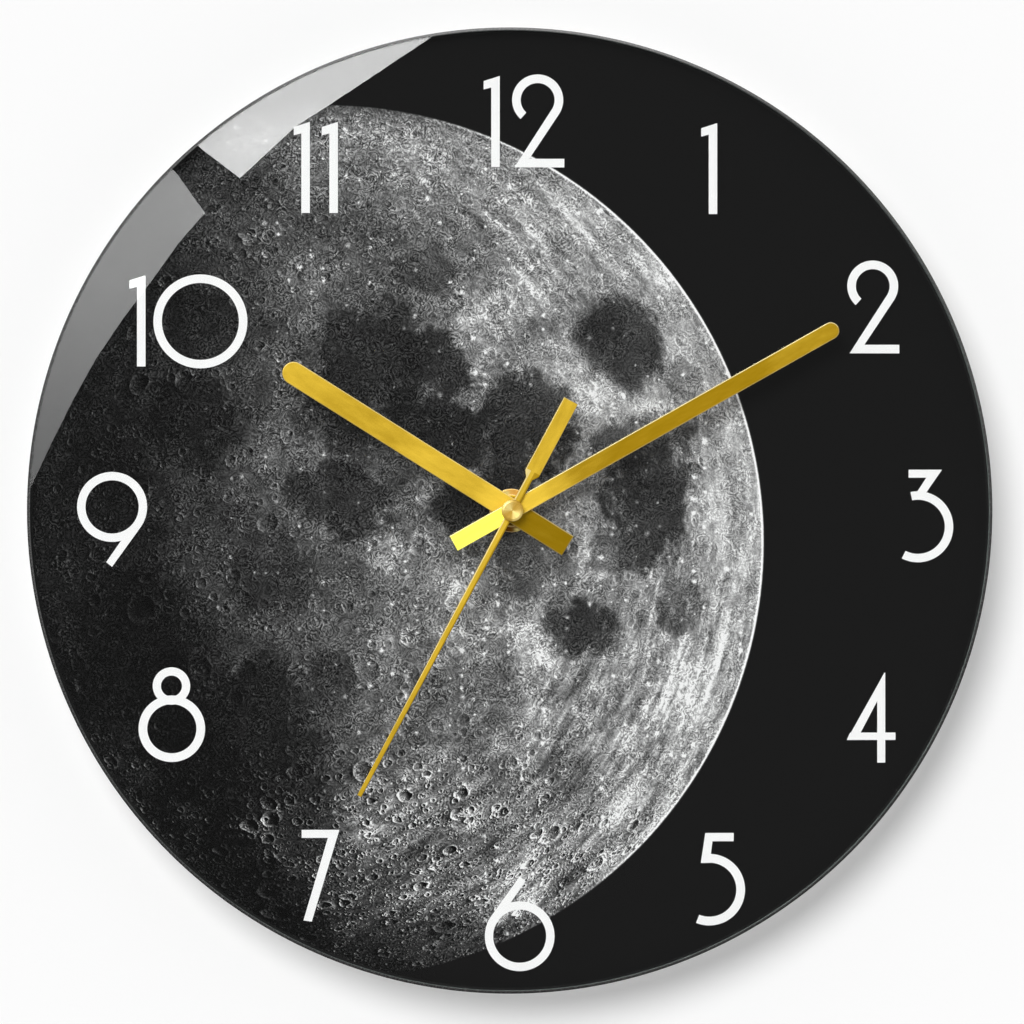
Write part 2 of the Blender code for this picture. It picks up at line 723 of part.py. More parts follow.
def rear_cover():
    """The cover plate, with the knob's well, the train's pivot bosses and posts for the middle plate."""
    shape = Shape()
    outline = rectangle(-CASE_HALF_WIDTH, CASE_HALF_WIDTH, BAY_TOP, CASE_TOP, CASE_CORNER)
    back, inside = shape.tube(outline, 0.0, COVER_THICKNESS)
    well_diameter = KNOB_DIAMETER + 2 * WELL_CLEARANCE
    well = circle(well_diameter, ROUND_SIDES, MINUTE_WHEEL_AXIS)
    drum = circle(well_diameter + 2 * WELL_WALL, ROUND_SIDES, MINUTE_WHEEL_AXIS)
    hole = circle(SETTING_ARBOR_DIAMETER + 2 * RUN_GAP, SMALL_SIDES, MINUTE_WHEEL_AXIS)
    well_mouth, well_floor = shape.tube(well, 0.0, WELL_FLOOR_BACK)
    hole_back, hole_front = shape.tube(hole, WELL_FLOOR_BACK, WELL_FLOOR_BACK + WELL_FLOOR)
    drum_foot, drum_end = shape.tube(drum, COVER_THICKNESS, WELL_FLOOR_BACK + WELL_FLOOR)
    shape.flat(back, well_mouth)
    shape.flat(well_floor, hole_back)
    shape.flat(drum_end, hole_front)
    feet = [drum_foot]
    pivots = (
        (HANDS_AXIS, SECONDS_ARBOR_DIAMETER),
        (FIFTH_AXIS, PIVOT_DIAMETER),
        (THIRD_AXIS, PIVOT_DIAMETER),
        (ROTOR_AXIS, PIVOT_DIAMETER),
    )
    for axis, pivot in pivots:
        boss = circle(PIVOT_BOSS_DIAMETER, SMALL_SIDES, axis)
        foot, end = shape.tube(boss, COVER_THICKNESS, PIVOT_BOSS_END)
        pivot_hole = circle(pivot + 2 * RUN_GAP, PIN_SIDES, axis)
        mouth, bottom = shape.tube(pivot_hole, PIVOT_BOSS_END, PIVOT_BOSS_END - PIVOT_HOLE_DEPTH)
        shape.flat(end, mouth)
        shape.flat(bottom)
        feet.append(foot)
    for centre in post_places()[1:]:
        post = circle(COVER_POST_DIAMETER, PIN_SIDES, centre)
        foot, end = shape.tube(post, COVER_THICKNESS, PLATE_BACK - SEAT_GAP)
        shape.flat(end)
        feet.append(foot)
    shape.flat(inside, *feet)
    material = finish_material("cover_plastic", (0.02, 0.02, 0.021), 0.4)
    place("rear_cover", shape, material)


def middle_plate():
    """The plate inside the case that carries the motor, the board and the train's front pivots."""
    right = BAY_HALF_WIDTH - PLATE_MARGIN
    shape = Shape()
    outline = rectangle(-right, right, GEAR_BAY_BOTTOM + SEAT_GAP, GEAR_BAY_TOP - SEAT_GAP, PLATE_CORNER)
    back, front = shape.tube(outline, PLATE_BACK, PLATE_FRONT)
    window_side = BOBBIN_LENGTH / 2 + WINDOW_MARGIN
    window_up = BOBBIN_FLANGE_DIAMETER / 2 + SEAT_GAP
    holes = [
        rectangle(-window_side, window_side, COIL_UP - window_up, COIL_UP + window_up, WINDOW_CORNER),
        circle(BEARING_DIAMETER + 2 * RUN_GAP, ROUND_SIDES),
        circle(SETTING_ARBOR_DIAMETER + 2 * RUN_GAP, SMALL_SIDES, MINUTE_WHEEL_AXIS),
    ]
    for axis in (FIFTH_AXIS, THIRD_AXIS, ROTOR_AXIS):
        holes.append(circle(PIVOT_DIAMETER + 2 * RUN_GAP, PIN_SIDES, axis))
    backs, fronts = [], []
    for hole in holes:
        hole_back, hole_front = shape.tube(hole, PLATE_BACK, PLATE_FRONT)
        backs.append(hole_back)
        fronts.append(hole_front)
    leg = STATOR_SPAN / 2 - STATOR_LEG / 2
    board_peg = BOARD_LEFT + BOARD_PEG_INSET
    stator_rest = STATOR_DEPTH + STATOR_THICKNESS + SEAT_GAP
    board_rest = BOARD_DEPTH + BOARD_THICKNESS + SEAT_GAP
    stator_peg_end = STATOR_DEPTH - SEAT_GAP - CORE_THICKNESS - TUBE_PROUD
    board_peg_end = BOARD_DEPTH - TUBE_PROUD
    pegs = (
        (-leg, COIL_UP, stator_rest, stator_peg_end),
        (leg, COIL_UP, stator_rest, stator_peg_end),
        (board_peg, -BOARD_PEG_HEIGHT, board_rest, board_peg_end),
        (board_peg, BOARD_PEG_HEIGHT, board_rest, board_peg_end),
    )
    for x, z, rest, end in pegs:
        boss = circle(PEG_DIAMETER + 2 * BOSS_WALL, PIN_SIDES, (x, z))
        peg = circle(PEG_DIAMETER, PIN_SIDES, (x, z))
        foot, boss_end = shape.tube(boss, PLATE_BACK, rest)
        peg_foot, peg_end = shape.tube(peg, rest, end)
        shape.flat(boss_end, peg_foot)
        shape.flat(peg_end)
        backs.append(foot)
    shape.flat(back, *backs)
    shape.flat(front, *fronts)
    material = finish_material("plate_plastic", (0.75, 0.74, 0.7), 0.5)
    place("middle_plate", shape, material)


# Motor


def lie_along_x(item, start, up, depth):
    """Turns a solid that was made along the depth axis so that it runs along +X from start."""
    item.rotation_euler = (0.0, 0.0, math.radians(90))
    item.location = spot(start, depth, up)


def coil_bobbin():
    end = BOBBIN_LENGTH
    levels = (
        (0.0, BOBBIN_FLANGE_DIAMETER),
        (BOBBIN_FLANGE_THICKNESS, BOBBIN_FLANGE_DIAMETER),
        (BOBBIN_FLANGE_THICKNESS, BOBBIN_CORE_DIAMETER),
        (end - BOBBIN_FLANGE_THICKNESS, BOBBIN_CORE_DIAMETER),
        (end - BOBBIN_FLANGE_THICKNESS, BOBBIN_FLANGE_DIAMETER),
        (end, BOBBIN_FLANGE_DIAMETER),
    )
    shape = turned(levels, ROUND_SIDES, ((0.0, BOBBIN_BORE), (end, BOBBIN_BORE)))
    material = finish_material("bobbin_plastic", (0.8, 0.78, 0.7), 0.5)
    lie_along_x(place("coil_bobbin", shape, material), -end / 2, COIL_UP, CORE_AXIS_DEPTH)


def coil_winding():
    length = BOBBIN_LENGTH - 2 * BOBBIN_FLANGE_THICKNESS - 2 * SEAT_GAP
    hole = BOBBIN_CORE_DIAMETER + 2 * TUBE_GAP
    outside = ((0.0, WINDING_DIAMETER), (length, WINDING_DIAMETER))
    shape = turned(outside, ROUND_SIDES, ((0.0, hole), (length, hole)))
    material = finish_material("enamelled_wire", (0.6, 0.2, 0.07), 0.35, metallic=0.8)
    lie_along_x(place("coil_winding", shape, material), -length / 2, COIL_UP, CORE_AXIS_DEPTH)


def peg_holes():
    """The two holes that the plate's pegs pass through, in the motor's iron parts."""
    leg = STATOR_SPAN / 2 - STATOR_LEG / 2
    size = PEG_DIAMETER + 2 * TUBE_GAP
    return [circle(size, PIN_SIDES, (-leg, COIL_UP)), circle(size, PIN_SIDES, (leg, COIL_UP))]


def sheet_part(outline, holes, back, front):
    """A flat sheet with holes."""
    shape = Shape()
    first, second = shape.tube(outline, back, front)
    edges = [shape.tube(hole, back, front) for hole in holes]
    shape.flat(first, *[edge[0] for edge in edges])
    shape.flat(second, *[edge[1] for edge in edges])
    return shape


def coil_core():
    """The iron strip through the coil, with a wide end over each leg of the stator."""
    half = STATOR_SPAN / 2
    neck = half - CORE_END_LENGTH
    thin, wide = CORE_WIDTH / 2, CORE_END_WIDTH / 2
    top = [(-half, wide), (-neck, wide), (-neck, thin), (neck, thin), (neck, wide), (half, wide)]
    outline = [(x, COIL_UP + z) for x, z in top]
    outline += [(x, COIL_UP - z) for x, z in reversed(top)]
    front = STATOR_DEPTH - SEAT_GAP
    shape = sheet_part(outline, peg_holes(), front - CORE_THICKNESS, front)
    material = finish_material("core_iron", (0.45, 0.45, 0.44), 0.4, metallic=1.0)
    place("coil_core", shape, material)


def stator_plate():
    """The iron sheet round the rotor, with a leg up to each end of the core."""
    half = STATOR_SPAN / 2
    low, high = ROTOR_AXIS[1] - STATOR_ARM / 2, ROTOR_AXIS[1] + STATOR_ARM / 2
    top = COIL_UP + CORE_END_WIDTH / 2
    inside = half - STATOR_LEG
    outline = [
        (-half, low),
        (-half, top),
        (-inside, top),
        (-inside, high),
        (inside, high),
        (inside, top),
        (half, top),
        (half, low),
    ]
    holes = [circle(STATOR_BORE, ROUND_SIDES, ROTOR_AXIS), *peg_holes()]
    shape = sheet_part(outline, holes, STATOR_DEPTH, STATOR_DEPTH + STATOR_THICKNESS)
    material = finish_material("stator_iron", (0.42, 0.42, 0.41), 0.4, metallic=1.0)
    place("stator_plate", shape, material)


def rotor_magnet():
    middle = STATOR_DEPTH + STATOR_THICKNESS / 2
    ends = (middle - MAGNET_THICKNESS / 2, middle + MAGNET_THICKNESS / 2)
    hole = ROTOR_SEAT_DIAMETER + 2 * PRESS_GAP
    shape = turned([(end, MAGNET_DIAMETER) for end in ends], ROUND_SIDES, [(end, hole) for end in ends])
    material = finish_material("magnet", (0.1, 0.1, 0.11), 0.35, metallic=0.9)
    place("rotor_magnet", shape, material, ROTOR_AXIS)


# Going train, each pinion turning a tooth to the wheel that it meets


def pinion_levels(outline, wheel_back, front):
    """Pinion teeth from just behind a wheel that they drive to a depth."""
    return [(wheel_back - PINION_OVERHANG, outline), (front, outline)]


def rotor_pinion(plastic):
    module = pair_module(ROTOR_PINION_TEETH, FIFTH_WHEEL_TEETH, ROTOR_SPACING)
    teeth = meshing(ROTOR_PINION_TEETH, module, ROTOR_BEARING + 180, faces_gap=False)
    arbor, hub = circle(PIVOT_DIAMETER, PIN_SIDES), circle(ROTOR_SEAT_DIAMETER, SMALL_SIDES)
    start = FIFTH_WHEEL_BACK - PINION_OVERHANG
    end = FIFTH_WHEEL_BACK + WHEEL_THICKNESS + PINION_OVERHANG
    hub_end = STATOR_DEPTH + STATOR_THICKNESS / 2 + MAGNET_THICKNESS / 2
    levels = (
        (PIVOT_BACK, arbor),
        (start, arbor),
        (start, teeth),
        (end, teeth),
        (end, hub),
        (hub_end, hub),
        (hub_end, arbor),
        (PLATE_FRONT - PRESS_GAP, arbor),
    )
    place("rotor_pinion", geared(levels), plastic, ROTOR_AXIS)


def fifth_wheel(plastic):
    pinion_module = pair_module(FIFTH_PINION_TEETH, SECONDS_WHEEL_TEETH, TRAIN_SPACING)
    wheel_module = pair_module(ROTOR_PINION_TEETH, FIFTH_WHEEL_TEETH, ROTOR_SPACING)
    pinion = meshing(FIFTH_PINION_TEETH, pinion_module, FIFTH_BEARING + 180, faces_gap=False)
    wheel = meshing(FIFTH_WHEEL_TEETH, wheel_module, ROTOR_BEARING, faces_gap=True)
    arbor = circle(PIVOT_DIAMETER, PIN_SIDES)
    start = SECONDS_WHEEL_BACK - PINION_OVERHANG
    wheel_front = FIFTH_WHEEL_BACK + WHEEL_THICKNESS
    levels = (
        (PIVOT_BACK, arbor),
        (start, arbor),
        (start, pinion),
        (FIFTH_WHEEL_BACK, pinion),
        (FIFTH_WHEEL_BACK, wheel),
        (wheel_front, wheel),
        (wheel_front, arbor),
        (PLATE_FRONT - PRESS_GAP, arbor),
    )
    place("fifth_wheel", geared(levels), plastic, FIFTH_AXIS)


def seconds_wheel(plastic):
    wheel_module = pair_module(FIFTH_PINION_TEETH, SECONDS_WHEEL_TEETH, TRAIN_SPACING)
    wheel = meshing(SECONDS_WHEEL_TEETH, wheel_module, FIFTH_BEARING, faces_gap=True)
    pinion = meshing(SECONDS_PINION_TEETH, THIRD_MODULE, THIRD_BEARING, faces_gap=False)
    hub = circle(ARBOR_HUB_DIAMETER, SMALL_SIDES)
    wheel_front = SECONDS_WHEEL_BACK + WHEEL_THICKNESS
    start = THIRD_WHEEL_BACK - PINION_OVERHANG
    end = THIRD_WHEEL_BACK + WHEEL_THICKNESS + PINION_OVERHANG
    levels = (
        (SECONDS_WHEEL_BACK, wheel),
        (wheel_front, wheel),
        (wheel_front, hub),
        (start, hub),
        (start, pinion),
        (end, pinion),
    )
    bore = SECONDS_ARBOR_DIAMETER + 2 * PRESS_GAP
    place("seconds_wheel", geared(levels, bore, PIN_SIDES), plastic)


def seconds_arbor(steel):
    ends = ((PIVOT_BACK, SECONDS_ARBOR_DIAMETER), (ARBOR_FRONT, SECONDS_ARBOR_DIAMETER))
    place("seconds_arbor", turned(ends, SMALL_SIDES), steel)


def third_wheel(plastic):
    pinion_module = pair_module(THIRD_PINION_TEETH, CENTRE_WHEEL_TEETH, TRAIN_SPACING)
    wheel = meshing(THIRD_WHEEL_TEETH, THIRD_MODULE, THIRD_BEARING + 180, faces_gap=True)
    pinion = meshing(THIRD_PINION_TEETH, pinion_module, THIRD_BEARING + 180, faces_gap=False)
    arbor, hub = circle(PIVOT_DIAMETER, PIN_SIDES), circle(ARBOR_HUB_DIAMETER, SMALL_SIDES)
    wheel_front = THIRD_WHEEL_BACK + WHEEL_THICKNESS
    start = CENTRE_WHEEL_BACK - PINION_OVERHANG
    end = CENTRE_WHEEL_BACK + WHEEL_THICKNESS + PINION_OVERHANG
    levels = (
        (PIVOT_BACK, arbor),
        (THIRD_WHEEL_BACK, arbor),
        (THIRD_WHEEL_BACK, wheel),
        (wheel_front, wheel),
        (wheel_front, hub),
        (start, hub),
        (start, pinion),
        (end, pinion),
        (end, arbor),
        (PLATE_FRONT - PRESS_GAP, arbor),
    )
    place("third_wheel", geared(levels), plastic, THIRD_AXIS)


def centre_wheel(plastic):
    module = pair_module(THIRD_PINION_TEETH, CENTRE_WHEEL_TEETH, TRAIN_SPACING)
    wheel = meshing(CENTRE_WHEEL_TEETH, module, THIRD_BEARING, faces_gap=True)
    levels = ((CENTRE_WHEEL_BACK, wheel), (CENTRE_WHEEL_BACK + WHEEL_THICKNESS, wheel))
    place("centre_wheel", geared(levels, SLEEVE_DIAMETER + 2 * RUN_GAP, ROUND_SIDES), plastic)


# Motion work


def cannon_tube(brass):
    """The minute tube: a sleeve for the centre wheel, a bearing, the cannon pinion and the tube."""
    module = pair_module(CANNON_PINION_TEETH, MINUTE_WHEEL_TEETH, MOTION_SPACING)
    pinion = meshing(CANNON_PINION_TEETH, module, MINUTE_WHEEL_BEARING, faces_gap=False)
    lip = circle(SLEEVE_DIAMETER + 2 * CLUTCH_WALL, ROUND_SIDES)
    sleeve = circle(SLEEVE_DIAMETER, ROUND_SIDES)
    bearing = circle(BEARING_DIAMETER, ROUND_SIDES)
    tube = circle(MINUTE_TUBE_DIAMETER, SMALL_SIDES)
    lip_front = CENTRE_WHEEL_BACK - SEAT_GAP
    pinion_back = MINUTE_WHEEL_BACK - PINION_OVERHANG
    levels = (
        (lip_front - SLEEVE_LIP, lip),
        (lip_front, lip),
        (lip_front, sleeve),
        (PLATE_BACK, sleeve),
        (PLATE_BACK, bearing),
        (PLATE_FRONT, bearing),
        (PLATE_FRONT, tube),
        (pinion_back, tube),
        (pinion_back, pinion),
        (CANNON_PINION_FRONT, pinion),
        (CANNON_PINION_FRONT, tube),
        (MINUTE_TUBE_FRONT, tube),
    )
    place("cannon_tube", geared(levels, SECONDS_ARBOR_DIAMETER + 2 * TUBE_GAP, PIN_SIDES), brass)


def clutch_spring(steel):
    ends = (CLUTCH_BACK, CLUTCH_BACK + CLUTCH_THICKNESS)
    outside = SLEEVE_DIAMETER + 2 * (TUBE_GAP + CLUTCH_WALL)
    hole = SLEEVE_DIAMETER + 2 * TUBE_GAP
    shape = turned([(end, outside) for end in ends], ROUND_SIDES, [(end, hole) for end in ends])
    place("clutch_spring", shape, steel)


def minute_wheel(plastic):
    """Wheel and pinion on the arbor that the setting knob turns."""
    wheel_module = pair_module(CANNON_PINION_TEETH, MINUTE_WHEEL_TEETH, MOTION_SPACING)
    pinion_module = pair_module(MINUTE_PINION_TEETH, HOUR_WHEEL_TEETH, MOTION_SPACING)
    wheel = meshing(MINUTE_WHEEL_TEETH, wheel_module, MINUTE_WHEEL_BEARING + 180, faces_gap=True)
    pinion = meshing(MINUTE_PINION_TEETH, pinion_module, MINUTE_WHEEL_BEARING + 180, faces_gap=False)
    arbor = circle(SETTING_ARBOR_DIAMETER, SMALL_SIDES)
    pivot = circle(SETTING_PIVOT_DIAMETER, SMALL_SIDES)
    wheel_front = MINUTE_WHEEL_BACK + WHEEL_THICKNESS
    pinion_front = HOUR_WHEEL_FRONT + PINION_OVERHANG
    levels = (
        (KNOB_RECESS + KNOB_THICKNESS / 2, arbor),
        (MINUTE_WHEEL_BACK, arbor),
        (MINUTE_WHEEL_BACK, wheel),
        (wheel_front, wheel),
        (wheel_front, pinion),
        (pinion_front, pinion),
        (pinion_front, pivot),
        (CASE_FLOOR - SEAT_GAP, pivot),
    )
    place("minute_wheel", geared(levels), plastic, MINUTE_WHEEL_AXIS)


def setting_knob():
    module = KNOB_DIAMETER / (KNOB_RIBS + 2 * ADDENDUM)
    ribs = gear(KNOB_RIBS, module, 0.0)
    shape = Shape()
    back, front = shape.tube(ribs, KNOB_RECESS, KNOB_RECESS + KNOB_THICKNESS)
    hole = circle(SETTING_ARBOR_DIAMETER + 2 * PRESS_GAP, SMALL_SIDES)
    hole_end = KNOB_RECESS + KNOB_THICKNESS / 2 - PRESS_GAP
    mouth, bottom = shape.tube(hole, KNOB_RECESS + KNOB_THICKNESS, hole_end)
    shape.flat(back)
    shape.flat(front, mouth)
    shape.flat(bottom)
    material = finish_material("knob_plastic", (0.03, 0.03, 0.032), 0.4)
    place("setting_knob", shape, material, MINUTE_WHEEL_AXIS)


def hour_wheel(plastic):
    module = pair_module(MINUTE_PINION_TEETH, HOUR_WHEEL_TEETH, MOTION_SPACING)
    wheel = meshing(HOUR_WHEEL_TEETH, module, MINUTE_WHEEL_BEARING, faces_gap=True)
    tube = circle(HOUR_TUBE_DIAMETER, ROUND_SIDES)
    levels = (
        (HOUR_WHEEL_BACK, wheel),
        (HOUR_WHEEL_FRONT, wheel),
        (HOUR_WHEEL_FRONT, tube),
        (HOUR_TUBE_FRONT, tube),
    )
    place("hour_wheel", geared(levels, MINUTE_TUBE_DIAMETER + 2 * TUBE_GAP), plastic)


# Electrics


def circuit_board():
    right = BOARD_LEFT + BOARD_WIDTH
    outline = [
        (BOARD_LEFT, -BOARD_HEIGHT / 2),
        (BOARD_LEFT, BOARD_HEIGHT / 2),
        (right, BOARD_HEIGHT / 2),
        (right, -BOARD_HEIGHT / 2),
    ]
    peg = BOARD_LEFT + BOARD_PEG_INSET
    size = PEG_DIAMETER + 2 * TUBE_GAP
    holes = [circle(size, PIN_SIDES, (peg, side * BOARD_PEG_HEIGHT)) for side in (-1, 1)]
    material = finish_material("board_laminate", (0.03, 0.16, 0.05), 0.4)
    shape = sheet_part(outline, holes, BOARD_DEPTH, BOARD_DEPTH + BOARD_THICKNESS)
    place("circuit_board", shape, material)


def timing_chip():
    """The chip's round drop of resin on the back of the board."""
    foot = BOARD_DEPTH - SEAT_GAP
    levels = []
    for step in range(1, CHIP_STEPS + 1):
        across, up = polar(1.0, 90 * step / CHIP_STEPS)
        levels.append((foot - CHIP_HEIGHT * up, CHIP_DIAMETER * across))
    centre = (BOARD_LEFT + BOARD_WIDTH - CHIP_DIAMETER / 2 - 2 * SEAT_GAP, CHIP_UP)
    material = finish_material("chip_resin", (0.02, 0.02, 0.02), 0.3)
    place("timing_chip", turned(levels, SMALL_SIDES), material, centre)


def quartz_crystal():
    """The crystal's can, lying upright along the board."""
    levels = (
        (0.0, CRYSTAL_DIAMETER),
        (CRYSTAL_LENGTH - CRYSTAL_EDGE, CRYSTAL_DIAMETER),
        (CRYSTAL_LENGTH, CRYSTAL_DIAMETER - 2 * CRYSTAL_EDGE),
    )
    material = finish_material("crystal_can", (0.75, 0.75, 0.77), 0.25, metallic=1.0)
    item = place("quartz_crystal", turned(levels, SMALL_SIDES), material)
    across = BOARD_LEFT + BOARD_WIDTH - CRYSTAL_LEFT
    depth = BOARD_DEPTH - SEAT_GAP - CRYSTAL_DIAMETER / 2
    item.rotation_euler = (math.radians(-90), 0.0, 0.0)
    item.location = spot(across, depth, BOARD_HEIGHT / 2 - CRYSTAL_LENGTH)


def battery_contact(name, side, material):
    """A bent strip from the battery's end, along the case wall and up through the bay's roof."""
    wall = BAY_HALF_WIDTH - SEAT_GAP
    bump = CELL_LENGTH / 2 + SEAT_GAP + CONTACT_THICKNESS
    low = CELL_AXIS_UP - CONTACT_FOOT
    line = [
        (wall, low),
        (wall, CELL_AXIS_UP - CONTACT_BEND),
        (bump, CELL_AXIS_UP - CONTACT_BEND / 4),
        (bump, CELL_AXIS_UP + CONTACT_BEND / 4),
        (wall, CELL_AXIS_UP + CONTACT_BEND),
        (wall, GEAR_BAY_BOTTOM + CONTACT_RISE),
    ]
    outline = [(side * x, z) for x, z in line]
    outline += [(side * (x - CONTACT_THICKNESS), z) for x, z in reversed(line)]
    middle = CELL_AXIS_DEPTH
    shape = sheet_part(outline, [], middle - CONTACT_DEPTH / 2, middle + CONTACT_DEPTH / 2)
    place(name, shape, material)


def battery_cell():
    body = CELL_LENGTH - CELL_NUB_HEIGHT
    levels = (
        (0.0, CELL_DIAMETER - 2 * CELL_EDGE),
        (CELL_EDGE, CELL_DIAMETER),
        (body - CELL_EDGE, CELL_DIAMETER),
        (body, CELL_DIAMETER - 2 * CELL_EDGE),
        (body, CELL_NUB_DIAMETER),
        (CELL_LENGTH, CELL_NUB_DIAMETER),
    )
    material = finish_material("cell_wrap", (0.05, 0.05, 0.055), 0.35)
    item = place("battery_cell", turned(levels, ROUND_SIDES), material)
    lie_along_x(item, -CELL_LENGTH / 2, CELL_AXIS_UP, CELL_AXIS_DEPTH)


# Hanger


def hanger():
    """A flat hanger: a tab trapped inside the case, a neck through its notch, and a nail eye above."""
    tab_top = GEAR_BAY_TOP - SEAT_GAP
    tab_bottom = tab_top - HANGER_TAB_HEIGHT
    right = [
        (HANGER_TAB_WIDTH / 2, tab_bottom),
        (HANGER_TAB_WIDTH / 2, tab_top),
        (HANGER_NECK_WIDTH / 2, tab_top),
        (HANGER_NECK_WIDTH / 2, HANGER_ROOF),
        (HANGER_BASE_WIDTH / 2, HANGER_ROOF),
        (HANGER_BASE_WIDTH / 2, HANGER_ROOF + HANGER_SHOULDER),
    ]
    for step in range(CORNER_STEPS + 1):
        x, z = polar(HANGER_CORNER, HANGER_CORNER_TURN * (1 - step / CORNER_STEPS))
        right.append((HANGER_TOP_WIDTH / 2 - HANGER_CORNER + x, HANGER_TOP - HANGER_CORNER + z))
    outline = right + [(-x, z) for x, z in reversed(right)]
    eye = rectangle(-EYE_WIDTH / 2, EYE_WIDTH / 2, NAIL_UP - EYE_HEIGHT, NAIL_UP, EYE_CORNER)
    shape = sheet_part(outline, [eye], CASE_BACK, CASE_BACK + HANGER_THICKNESS)
    material = finish_material("hanger_plastic", (0.022, 0.022, 0.023), 0.45)
    place("hanger", shape, material)


def build():
    clear_scene()
    gold = finish_material("brushed_gold", (0.85, 0.58, 0.12), 0.3, metallic=1.0)
    spun_gold = finish_material("spun_gold", (0.85, 0.65, 0.3), 0.25, metallic=1.0)
    brass = finish_material("brass", (0.7, 0.5, 0.2), 0.35, metallic=1.0)
    steel = finish_material("steel", (0.6, 0.6, 0.6), 0.3, metallic=1.0)
    gear_plastic = finish_material("gear_plastic", (0.85, 0.83, 0.76), 0.4)
    contact_metal = finish_material("contact_nickel", (0.72, 0.7, 0.66), 0.3, metallic=1.0)
    glass_dial()
    dial_film()
    rubber_washer()
    round_nut()
    threaded_bushing()
    bar_hand(
        "hour_hand",
        HOUR_WIDTH,
        HOUR_REACH,
        HOUR_TAIL,
        HOUR_HAND_BACK,
        HOUR_TUBE_DIAMETER,
        HOUR_ANGLE,
        gold,
    )
    bar_hand(
        "minute_hand",
        MINUTE_WIDTH,
        MINUTE_REACH,
        MINUTE_TAIL,
        MINUTE_HAND_BACK,
        MINUTE_TUBE_DIAMETER,
        MINUTE_ANGLE,
        gold,
    )
    hand_collet("hour_collet", HOUR_TUBE_DIAMETER, HOUR_COLLET_BACK, HOUR_HAND_BACK, brass)
    hand_collet("minute_collet", MINUTE_TUBE_DIAMETER, MINUTE_COLLET_BACK, MINUTE_HAND_BACK, brass)
    seconds_hand(gold)
    seconds_cap(spun_gold)
    movement_case()
    rear_cover()
    middle_plate()
    coil_bobbin()
    coil_winding()
    coil_core()
    stator_plate()
    rotor_magnet()
    rotor_pinion(gear_plastic)
    fifth_wheel(gear_plastic)
    seconds_wheel(gear_plastic)
    seconds_arbor(steel)
    third_wheel(gear_plastic)
    centre_wheel(gear_plastic)
    cannon_tube(brass)
    clutch_spring(steel)
    minute_wheel(gear_plastic)
    setting_knob()
    hour_wheel(gear_plastic)
    circuit_board()
    timing_chip()
    quartz_crystal()
    battery_contact("negative_contact", -1, contact_metal)
    battery_contact("positive_contact", 1, contact_metal)
    battery_cell()
    hanger()


build()
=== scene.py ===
import math
from functools import reduce

import bmesh
import bpy
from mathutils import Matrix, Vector


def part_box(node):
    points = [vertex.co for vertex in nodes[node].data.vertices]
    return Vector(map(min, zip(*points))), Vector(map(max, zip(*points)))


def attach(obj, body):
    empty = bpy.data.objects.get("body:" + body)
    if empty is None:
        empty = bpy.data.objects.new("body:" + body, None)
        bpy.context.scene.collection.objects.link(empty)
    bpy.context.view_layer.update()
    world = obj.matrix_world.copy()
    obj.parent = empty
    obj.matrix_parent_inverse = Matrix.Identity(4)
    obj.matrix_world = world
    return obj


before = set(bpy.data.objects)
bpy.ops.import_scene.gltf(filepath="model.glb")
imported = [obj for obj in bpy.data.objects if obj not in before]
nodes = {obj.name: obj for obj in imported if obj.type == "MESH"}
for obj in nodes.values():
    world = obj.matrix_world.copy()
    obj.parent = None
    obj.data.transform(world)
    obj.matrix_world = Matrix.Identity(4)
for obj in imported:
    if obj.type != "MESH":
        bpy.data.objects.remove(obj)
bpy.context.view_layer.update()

MM = 0.001

# Radii in millimetres
NUT_RADIUS = round(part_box("round_nut")[1].x / MM, 3)
GLASS_RADIUS = round(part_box("glass_dial")[1].x / MM, 3)

# Where the hands' axis stands below the nail, and the faces that the dial's pieces lie between, in metres
AXIS_Z = (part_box("round_nut")[0].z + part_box("round_nut")[1].z) / 2
FILM_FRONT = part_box("dial_film")[0].y
FILM_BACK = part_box("dial_film")[1].y
GLASS_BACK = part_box("glass_dial")[1].y
GLASS_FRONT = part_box("glass_dial")[0].y


def spot(x, z, y=0.0):
    """A point x and z millimetres from the hands' axis, at depth y in metres."""
    return Vector((x * MM, y, z * MM + AXIS_Z))


# Patterns, written as formulas over the sockets of a node tree


